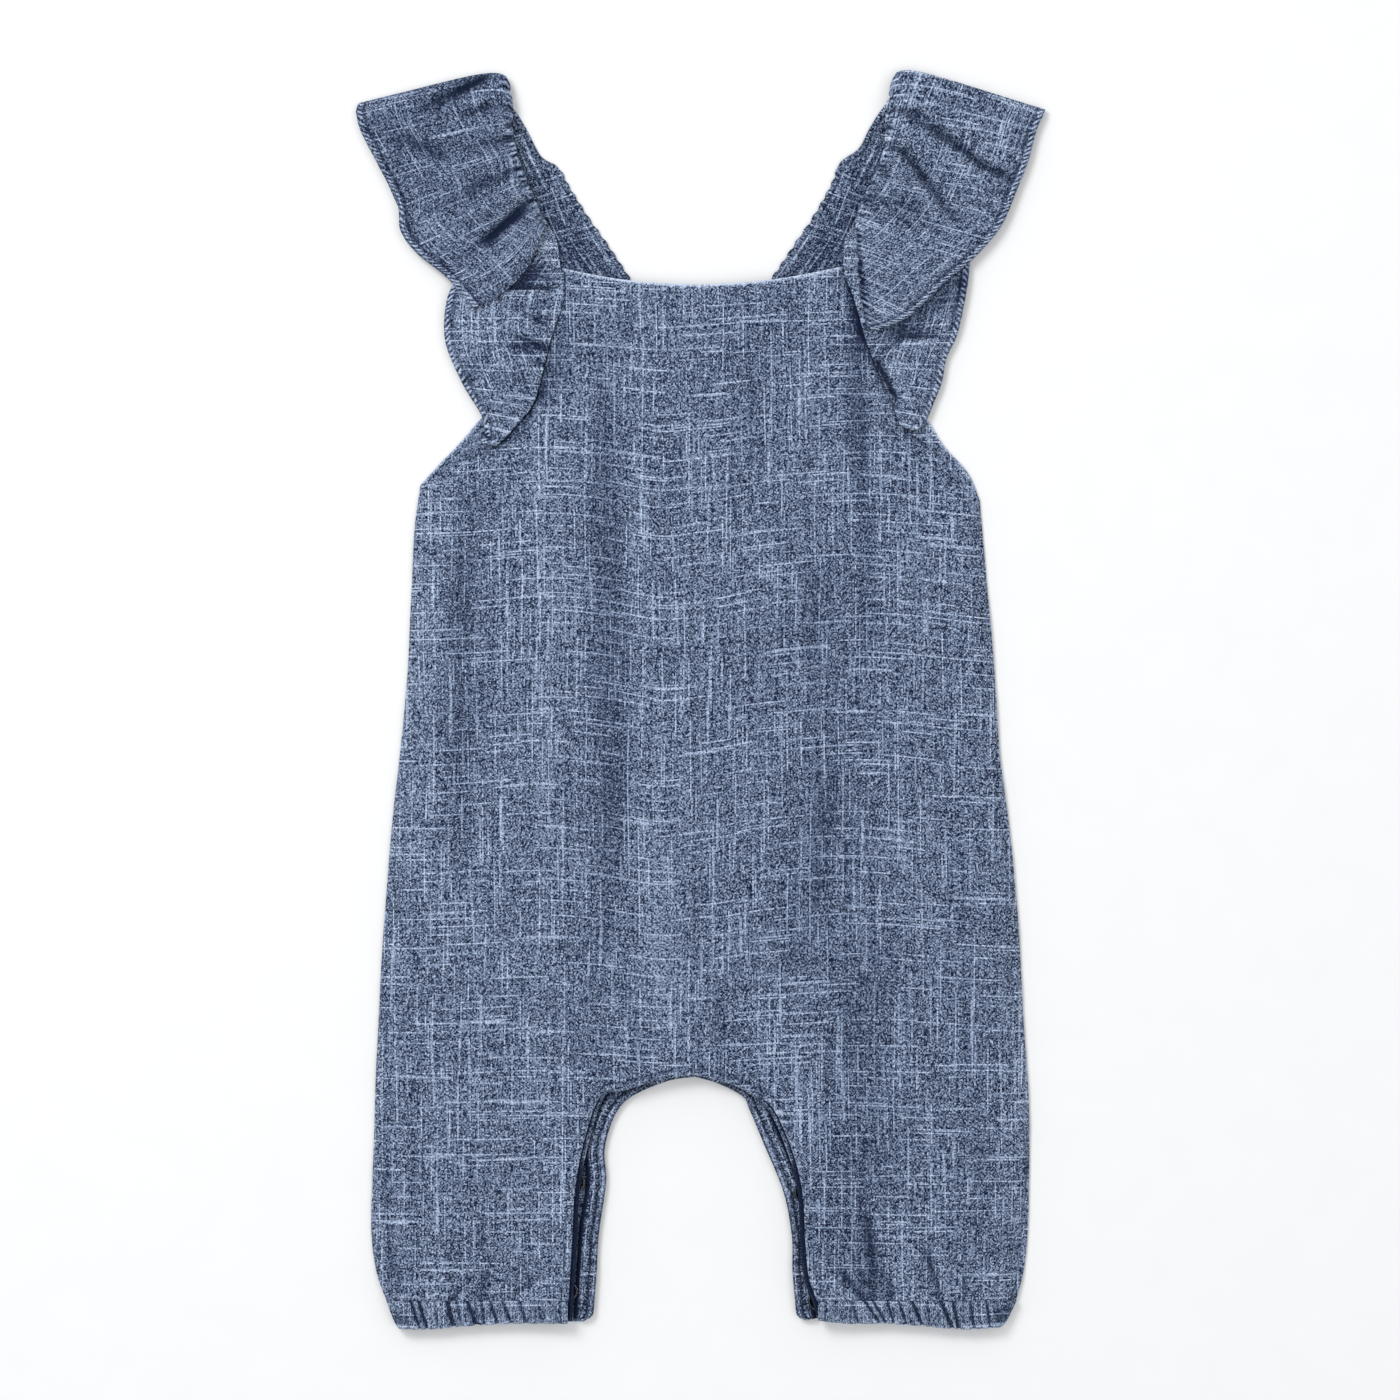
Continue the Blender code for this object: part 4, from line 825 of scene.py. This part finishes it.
FINE_RIGHT = (
    (78, 235.8, 88, 234.8, 1.1, -0.9), (87, 235, 98, 226.6, 1.3, -1), (98, 227.2, 112, 214.6, 1.5, -0.9),
    (112, 214, 126, 208.4, 2.2, -0.5), (76, 228.8, 84, 226.4, 0.9, -0.7),
    (75.4, 221.4, 82, 218.6, 1.1, -1), (82, 217.6, 90, 208, 1.4, -1.1),
    (90, 207.6, 101, 192.6, 1.6, -0.8), (77, 224.6, 86, 221, 1.3, 0.6), (98, 218, 106, 202, 2.6, -0.4),
    (69.6, 204.6, 75, 197.6, 1, -0.9), (72, 208.6, 80, 200, 1.6, 0.5), (78, 201, 87, 194.6, 1.8, -0.8),
    (67, 202, 71.6, 194.6, 0.9, -0.8), (62.6, 187.6, 63.8, 172, 1, -1), (63.8, 172, 68, 160, 1.2, -0.5),
    (66, 186, 69, 168, 1.6, 0.5), (100, 196, 112, 188, 3, 0.3), (84, 178, 98, 188, 3, 0.3),
)
# Painted highlights and painted shade on the folds, and the pale loose ends of thread at the left hem's
# foot.
RUFFLE_PAINTED_LIGHT_AND_THREADS = {
    "left": (
        (-71, 194.5, -85, 183, 3, -0.85), (-66, 189, -84, 172, 4, 0.6), (-84, 250, -110, 232, 3, -0.5),
        (-122, 228, -104, 219, 3, -0.35), (-113, 194, -104, 185, 3.2, 1.5),
        (-74, 226, -73, 214, 2.5, 0.5), (-99, 167.5, -91.4, 157, 0.7, 3), (-95, 166, -90, 157, 0.5, 3),
        (-92.6, 162, -88.4, 157.4, 0.5, 2.6),
    ),
    "right": (
        (83, 235, 101, 221, 1.6, -0.35), (101, 221, 121, 208.6, 1.8, -0.3), (80, 230, 112, 206, 3, 0.5),
        (80, 213, 87, 199, 1.4, -0.6), (87, 199, 96, 188, 1.8, -0.5), (62.5, 174, 66, 150, 1.8, -0.9),
        (67, 204, 84, 189, 1.6, -0.7), (96, 240, 132, 230, 6, -0.2),
    ),
}
PUFF_PITCH = 2.4  # length of one small puff of the gathers, beside the stitches
# Notches between the tips of the gathers, by their place along the neck side.
NOTCHES = {
    "left": (243.0, 235.6, 230.2, 224.6, 217.8, 212.6, 206.4, 200.2, 193.6),
    "right": (241.0, 235.2, 228.6, 221.2, 213.4, 206.4, 200.4, 194.0, 186.0, 176.0, 168.0),
}
RUFFLE_WAKE = (2.2, 3.2)  # heights over which its creases begin, so that the back stays flat
# Painted shade over the whole of each ruffle, more on the left.
RUFFLE_SHADE = {"left": 0.2, "right": 0.03}


def strip(stations):
    """x, y, z of a strip ruled between two edges, with each row bowed in its own plane, then the
    distances to the hem and to the other edge, and the length along the hem."""
    a, b = stations[:, None, :3], stations[:, None, 3:6]
    bow, lean = stations[:, 6:7], stations[:, 7:8]
    width = np.linalg.norm((b - a)[..., :2], axis=-1)
    hem = HEM_ACROSS * np.minimum(1, 0.5 * width / HEM_ACROSS[0])
    body = RUFFLE_ACROSS / (RUFFLE_ACROSS[-1] + 0.02) * (1 - hem[:, :1] / width)
    share = np.hstack([body, 1 - hem / width])
    x, y, z = np.moveaxis(a + (b - a) * share[..., None], -1, 0)
    over_x, over_y = ((b - a)[..., k] / width for k in range(2))
    swing = bow * np.sin(math.pi * share**lean) * np.sign(over_x)
    x, y = x - swing * over_y, y + swing * over_x
    return x, y, z, (1 - share) * width, share * width, lengths(stations[:, 3:6])


def rolled_hem(to_hem, along, strength=1.0):
    """Height of the twisted roll along a ruffle's outer edge, over the cloth's own height, and its wear
    and painted highlights on the ribs, with painted shade between them and along the roll's inner edge."""
    roll = arch(to_hem + 0.3, HEM_ROLL + 0.3)
    slant = along + 0.9 * to_hem + 0.5 * np.sin(along / 3.1) + 0.3 * np.sin(along / 1.7)
    ribs = np.sin(2 * math.pi * slant / RIB_PITCH) * roll
    height = strength * (0.3 * roll + 0.22 * ribs) - 0.3 * close(to_hem - HEM_ROLL - 0.2, 0.4)
    wear_and_highlight = 1.5 * np.clip(ribs, 0, 1) * close(to_hem - 1.4, 1.3)
    deep = 0.5 * close(to_hem - HEM_ROLL - 0.2, 0.6) + 0.8 * np.clip(-ribs, 0, 1)
    return height, wear_and_highlight, deep


for side, rows, table, fine in (
    ("left", RUFFLE_LEFT, RUFFLE_LEFT_CREASES, FINE_LEFT),
    ("right", RUFFLE_RIGHT, RUFFLE_RIGHT_CREASES, FINE_RIGHT),
):
    stations = chain(rows, RUFFLE_STEPS)
    x, y, z, to_hem, to_neck, along = strip(stations)
    by_neck = lengths(stations[:, :3])
    awake = step(z, *RUFFLE_WAKE)
    notch = sum(close(stations[:, 1:2] - place, 0.9) for place in NOTCHES[side]) * awake[:, :1]
    header = close(to_neck, 2.6)
    x = x + np.sign(x) * (notch * 0.9 - 0.35) * close(to_neck, 1.6) * awake
    broad, sharp = creases(table, x, y), creases(fine, x, y)
    calm = awake * (1 - 0.55 * close(to_hem, 2.5))
    folds = (broad + sharp + 0.18 * waver(x / 7, y / 7, 13) - 0.55 * notch * header) * calm
    puffs = np.sin(2 * math.pi * (by_neck + 0.8 * np.sin(by_neck / 2.7)) / PUFF_PITCH)
    puffs = puffs * close(to_neck - 1.2, 1.4) * awake * (0.8 + 1.2 * waver(x / 4, y / 4, 23))
    roll, wear_and_highlight, deep = rolled_hem(to_hem, along)
    z = z + 0.18 * puffs + folds + roll * (0.25 + 0.75 * awake) - 0.5 * close(to_hem, 0.3) * awake
    z = z - 0.9 * close(to_neck, 0.5) * awake
    z = z + (1 - awake) * np.maximum(0.3 * waver(x / 5, y / 5, 15), 0) * step(to_hem, 0, 6)
    # Wear on the gathered edge. Painted highlights on the puffs, and painted shade between them and in
    # the notches; the folds are painted paler on their ridges and darker in their troughs.
    wear_and_highlight = wear_and_highlight + 0.5 * close(to_neck, 0.7) * awake + 0.9 * np.clip(puffs, 0, 1)
    deep = deep + 0.6 * notch * header + 0.7 * np.clip(-puffs, 0, 1) + RUFFLE_SHADE[side]
    tone = (0.35 * broad + 0.6 * sharp) * calm + creases(RUFFLE_PAINTED_LIGHT_AND_THREADS[side], x, y) * awake
    grain = vectors(to_hem, along, BOLT[f"ruffle_{side}"])
    sheet = (vectors(x, y, np.maximum(z, 0)), grain, wear_and_painted_light_from(tone, wear_and_highlight, deep), side == "left")
    ruffle = cloth(f"ruffle_{side}", "chambray", sheet)

# ----------------------------------------
# Lower ends of the ruffles. The same strips carried on down the bib's armhole edges, sewn in there and
# tapering to a turned point. Rows give y and z at the seam along the bib, then x, y, z at the hem.

TAIL_LEFT = (
    (177, 3.9, -92, 174, 3.7), (171, 4.2, -96, 171, 3.6), (160, 4.2, -101.4, 160, 3.3),
    (143.6, 4.5, -102, 143.6, 2.9), (125, 4.7, -95.8, 128, 2.8), (117.6, 4.6, -91.8, 121, 2.8),
    (110.8, 4.4, -87.6, 114, 2.9), (104.6, 4.3, -86.2, 107.4, 3.2), (101.6, 4.2, -88, 103.2, 3.6),
)
TAIL_RIGHT = (
    (172, 4.5, 108.2, 176, 3), (160, 4.1, 106.8, 164, 3.2), (146, 4.2, 103.2, 147, 2.9),
    (137, 4.6, 98.8, 137, 2.8), (129.4, 4.7, 96.8, 127, 2.8), (122.4, 4.6, 93.8, 119.4, 2.9),
    (114.6, 4.4, 90.8, 112.4, 3.1), (109.4, 4.3, 86.6, 107.6, 3.6),
)
BIB_POINTS = 400
TAIL_LAP = 0.6  # how far it lies over the bib's edge
TAIL_ROWS = 261
TAIL_SPREAD, TAIL_SPREAD_Y = 1.6, 171  # how fast, and from where, its top end leaves the bib's edge
TAIL_CREASES = (
    (-64, 148, -78, 150, 2.4, 0.7), (-64, 142, -76, 141, 2, -0.8), (-67, 134, -84, 138, 2.6, 0.7),
    (-68, 126, -80, 131, 2.2, -0.7), (-74, 118, -86, 124, 2.6, 0.5), (70, 136, 78, 121, 2.4, -0.8),
    (78, 140, 96, 144, 3, 0.6), (80, 147, 98, 146, 2.2, -0.7), (76, 132, 88, 112, 3, 0.6),
)
FINE_TAIL = (
    (-58, 164.8, -77, 164.8, 0.9, -0.8), (-60, 163.2, -78, 163, 1.4, 0.3),
    (-60, 158, -80, 157.4, 1.2, -0.25), (-61, 150, -70, 154.6, 1.2, -0.6),
    (-61.4, 140.6, -74, 146, 1.3, -0.7), (-62, 138.4, -76, 134, 1.4, 0.4),
    (-64, 136, -74, 142.6, 1.2, -0.5), (-61.6, 139.8, -64, 140.6, 0.8, -0.8),
    (-62.4, 133.6, -65.6, 135.6, 0.8, -0.8), (-92, 150, -98, 132, 2.4, 0.4),
    (-84, 142, -94, 126, 2.6, -0.3), (83, 145.4, 95, 145.4, 1.1, -0.6), (84, 142.6, 96, 142, 1.6, 0.5),
    (70.8, 135.2, 78.4, 121, 0.9, -1), (74, 140, 82, 144.6, 1.2, -0.4), (79, 132, 84, 120, 1.6, 0.5),
    (90, 138, 86, 118, 1.6, -0.35), (92, 156, 101, 146, 2, 0.3),
)
# Painted shade under the upper ruffles' edges, a painted highlight on the fold below it, and painted
# highlights and shade at the tails' tips.
TAIL_PAINTED_LIGHT = (
    (-60, 171, -84, 161, 3.5, -0.6), (-66, 172.5, -73.5, 168, 2.7, -1.2), (-86, 152, -94, 140, 5, 0.4),
    (-86, 160, -96, 151, 4.5, 0.7), (76, 146, 108, 168, 5.5, -0.8), (84, 133, 92, 124, 5, 0.35),
    (-88.4, 105.4, -84.2, 102.2, 0.8, 2.6), (-86.6, 106.2, -84.4, 104.6, 0.6, -1.2),
    (82, 108, 88, 109.4, 0.8, 0.9),
)

for side, rows, half in (("left", TAIL_LEFT, FRONT_LEFT), ("right", TAIL_RIGHT, FRONT_RIGHT)):
    bib_x, bib_y = trace(half["body"][-1:] + half["bib"], BIB_POINTS)[:, :2].T
    rows = trace(rows, TAIL_ROWS)
    seam_x = np.interp(rows[:, 0], bib_y, bib_x)
    seam_x += np.sign(seam_x) * (TAIL_SPREAD * np.maximum(rows[:, 0] - TAIL_SPREAD_Y, 0) - TAIL_LAP)
    stations = np.column_stack([seam_x, rows, 0 * seam_x, 0 * seam_x + 1])
    x, y, z, to_hem, to_seam, along = strip(stations)
    to_end = np.linalg.norm(stations[-1:, :2] - stations[:, :2], axis=1)[:, None]
    broad, sharp = creases(TAIL_CREASES, x, y), creases(FINE_TAIL, x, y)
    folds = (broad + sharp + 0.14 * waver(x / 6, y / 6, 17)) * step(to_hem, 0, 4)
    folds *= 0.25 + 0.75 * step(to_seam, 0, 2.5)
    roll, wear_and_highlight, deep = rolled_hem(to_hem, along, 0.9)
    z = z + folds + roll + 0.5 * close(to_seam, 3.0) * step(to_hem, 0, 3)
    z = z - 0.4 * close(to_hem, 0.3) - 0.25 * close(to_seam, 0.35) - 0.4 * close(to_end, 0.5)
    wear_and_highlight = wear_and_highlight + 0.6 * close(to_end, 1.2)
    # The folds are painted paler on their ridges and darker in their troughs.
    tone = 0.7 * broad + 1.4 * sharp + creases(TAIL_PAINTED_LIGHT, x, y)
    grain = vectors(to_hem, along, BOLT["tail"])
    sheet = (vectors(x, y, z), grain, wear_and_painted_light_from(tone, wear_and_highlight, deep), side == "right")
    tail = cloth(f"ruffle_tail_{side}", "chambray", sheet)

# ----------------------------------------
# Leg hems. The cloth is turned up into a narrow casing round each leg and gathered by the elastic in
# it, so it puckers unevenly. Rows give x and the edge's y, from inside leg to side.

CASING_TOP = -240.25
CASING_LEFT = (
    (-52.9, -249), (-62, -249), (-76, -249.2), (-94, -250.2), (-108, -251.4), (-117.2, -251.4),
)
CASING_RIGHT = (
    (47.2, -247.6), (58, -249), (74, -249.2), (88, -250), (104, -251.4), (118, -250.8),
)
CASING_STEPS = {"front": 300, "side": 36, "back": 150}
CASING_SIDE_X = {"left": (-125.6, -121.6), "right": (126.8, 121.8)}
CASING_BACK_X = {"left": -43.0, "right": 39.0}
CASING_WALL = 1.0
CASING_WIDTH = 9
FULLNESS = 1.5  # cut length over gathered length
# Puckers: x at the middle of the casing, slant over its width, width and depth.
GATHERS = {
    "left": (
        (-117.4, 1, 0.9, 0.5), (-113.8, 1.8, 0.9, 0.9), (-110.8, 1.8, 1, 1), (-105.4, 0.8, 0.9, 0.4),
        (-99.8, 1.4, 1.2, 1.2), (-96.2, 1.2, 0.9, 0.6), (-91.2, 1.8, 1.2, 1.1), (-89, 0.8, 0.8, 0.5),
        (-86.8, 0.6, 1, 0.7), (-82.4, 1.4, 1.3, 0.8), (-77.2, 1.8, 1.3, 0.8), (-70.8, 1.2, 1.5, 0.7),
        (-64, 0.8, 1.6, 0.4), (-57.4, 0.6, 1.4, 0.35),
    ),
    "right": (
        (55, 0.8, 1.6, 0.35), (62, 1.4, 1.4, 0.5), (68.8, 3, 1, 0.9), (71.8, 2.6, 1, 0.9),
        (76.2, 1.3, 0.9, 0.9), (81, 1.5, 0.9, 0.8), (86.8, 2.2, 1.1, 1.1), (91.4, 0.8, 0.9, 0.6),
        (98.5, 2.4, 1.2, 1.2), (102.2, 1.2, 1, 1.1), (108.8, 0.8, 1.1, 0.7), (112, 0.6, 0.8, 0.4),
        (115.2, 0.8, 0.9, 0.8), (118, 0.6, 0.9, 0.6),
    ),
}
CASING_ACROSS = (
    0, 0.03, 0.06, 0.1, 0.15, 0.2, 0.27, 0.34, 0.41, 0.48,
    0.55, 0.62, 0.69, 0.76, 0.82, 0.87, 0.91, 0.94, 0.97, 1,
)


def pucker(table, x, share):
    """Depth of the gathers at a place in the casing: troughs, with round ridges between them."""
    depth = np.zeros(np.broadcast(x, share).shape)
    for place, slant, width, deep in table:
        depth -= deep * close(x - place - slant * (share - 0.5) * 2, 0.75 * width)
    return depth + 0.42


for side, rows in (("left", CASING_LEFT), ("right", CASING_RIGHT)):
    sign = -1 if side == "left" else 1
    share = np.array(CASING_ACROSS)[None, :]
    run = trace(rows, CASING_STEPS["front"] + 1)
    x = run[:, :1] + 0 * share
    folds = pucker(GATHERS[side], x, share)
    y = CASING_TOP + (run[:, 1:] - CASING_TOP) * share
    edge_y = -0.55 * folds * share**4
    crown = arch(share, 1) ** 0.6
    z = front_top(x, y) - 0.12 + 0.4 * crown + folds * (0.12 + 0.75 * crown)
    parts = [vectors(x, y + edge_y, z)]

    reach = np.interp(share, (0, 1), CASING_SIDE_X[side]) - sign * HEM_CORNER / 3 * share**8 - x[-1:]
    turn = np.linspace(0, math.pi, CASING_STEPS["side"] + 2)[1:-1, None]
    round_x = x[-1:] + reach * np.sin(turn)
    parts.append(vectors(round_x, y[-1:] + edge_y[-1:] + 0 * turn, z[-1:] * (1 + np.cos(turn)) / 2))

    even = np.linspace(0, 1, CASING_STEPS["back"] + 1)[:, None]
    back_x = x[-1, 0] + (CASING_BACK_X[side] + sign * HEM_CORNER * share**4 - x[-1, 0]) * even
    low_y = np.interp(back_x * sign, run[:, 0] * sign, run[:, 1])
    under = pucker(GATHERS[side], back_x, share)
    back_z = np.maximum(-under, 0) * 0.7 * step(np.abs(back_x - x[-1, 0]), 0, 4)
    parts.append(vectors(back_x, y[-1:] + (low_y - y[-1, -1]) * share, back_z))

    points = np.vstack(parts)
    slack = np.vstack([folds, folds[-1:] + 0 * turn, under])
    grain = vectors(lengths(points[:, 8]) * FULLNESS, CASING_TOP - CASING_WIDTH * share, BOLT["front"])
    to_end = np.abs(points[..., 0] - x[0, 0])
    wear_and_highlight = 0.35 * close(share - 1, 0.07) + 0.15 * close(share - 0.12, 0.07) * step(to_end, 2, 12)
    # Painted shade along the line of stitches at the inside end. The gathers are painted darker in their
    # troughs and paler on their ridges.
    deep = 0.7 * close(to_end - STITCHES_IN, 0.5)
    sheet = (points, grain, wear_and_painted_light_from(2.0 * (slack - 0.25), wear_and_highlight, deep), side == "left")
    casing = cloth(f"leg_casing_{side}", "chambray", sheet, wall=CASING_WALL)

# ----------------------------------------
# The studio: a plain white floor, even light from all round with a large soft lamp up to the left, and
# a camera straight above the garment.

FRAME_WIDTH = 0.56  # metres of floor that the picture shows
LENS, SENSOR = 135, 36
FOCUS_HEIGHT = 0.004
FLOOR_REACH = 4.0
FLOOR_Z = -0.0004
PAPER, PALE_PAPER = (0.93, 0.93, 0.93, 1), (0.96, 0.96, 0.96, 1)
DAYLIGHT = (0.97, 0.985, 1.0, 1)

floor_mesh = bpy.data.meshes.new("floor")
corners = [(a * FLOOR_REACH, b * FLOOR_REACH, FLOOR_Z) for a, b in ((-1, -1), (1, -1), (1, 1), (-1, 1))]
floor_mesh.from_pydata(corners, [], [(0, 1, 2, 3)])
floor = put("floor", floor_mesh)
paper, finish, fibre = new_material("paper")
fibre = fibre.node("TexNoise", {"Scale": 400.0, "Detail": 2.0})
fibre.blend(PAPER, PALE_PAPER).into(finish, "Base Color")
finish.inputs["Roughness"].default_value = 0.9
finish.inputs["Specular IOR Level"].default_value = 0.2
floor_mesh.materials.append(paper)

world = bpy.data.worlds.new("studio")
world.use_nodes = True
sky = world.node_tree.nodes["Background"]
sky.inputs["Color"].default_value = DAYLIGHT
sky.inputs["Strength"].default_value = 0.69
bpy.context.scene.world = world
for name, place, size, power in (
    ("key", (-0.9, 1.0, 1.5), 0.8, 18.0),
    ("fill", (0.9, -0.4, 1.8), 1.4, 4.0),
):
    lamp = bpy.data.lights.new(name, "AREA")
    lamp.size = size
    lamp.energy = power
    light = put(name, lamp)
    light.location = place
    light.rotation_euler = (-Vector(place)).to_track_quat("-Z", "Y").to_euler()

camera_data = bpy.data.cameras.new("camera")
camera_data.lens = LENS
camera_data.sensor_width = SENSOR
camera = put("camera", camera_data)
camera.location = (0, 0, FOCUS_HEIGHT + FRAME_WIDTH * LENS / SENSOR)
bpy.context.scene.camera = camera
bpy.context.scene.view_settings.view_transform = "Standard"
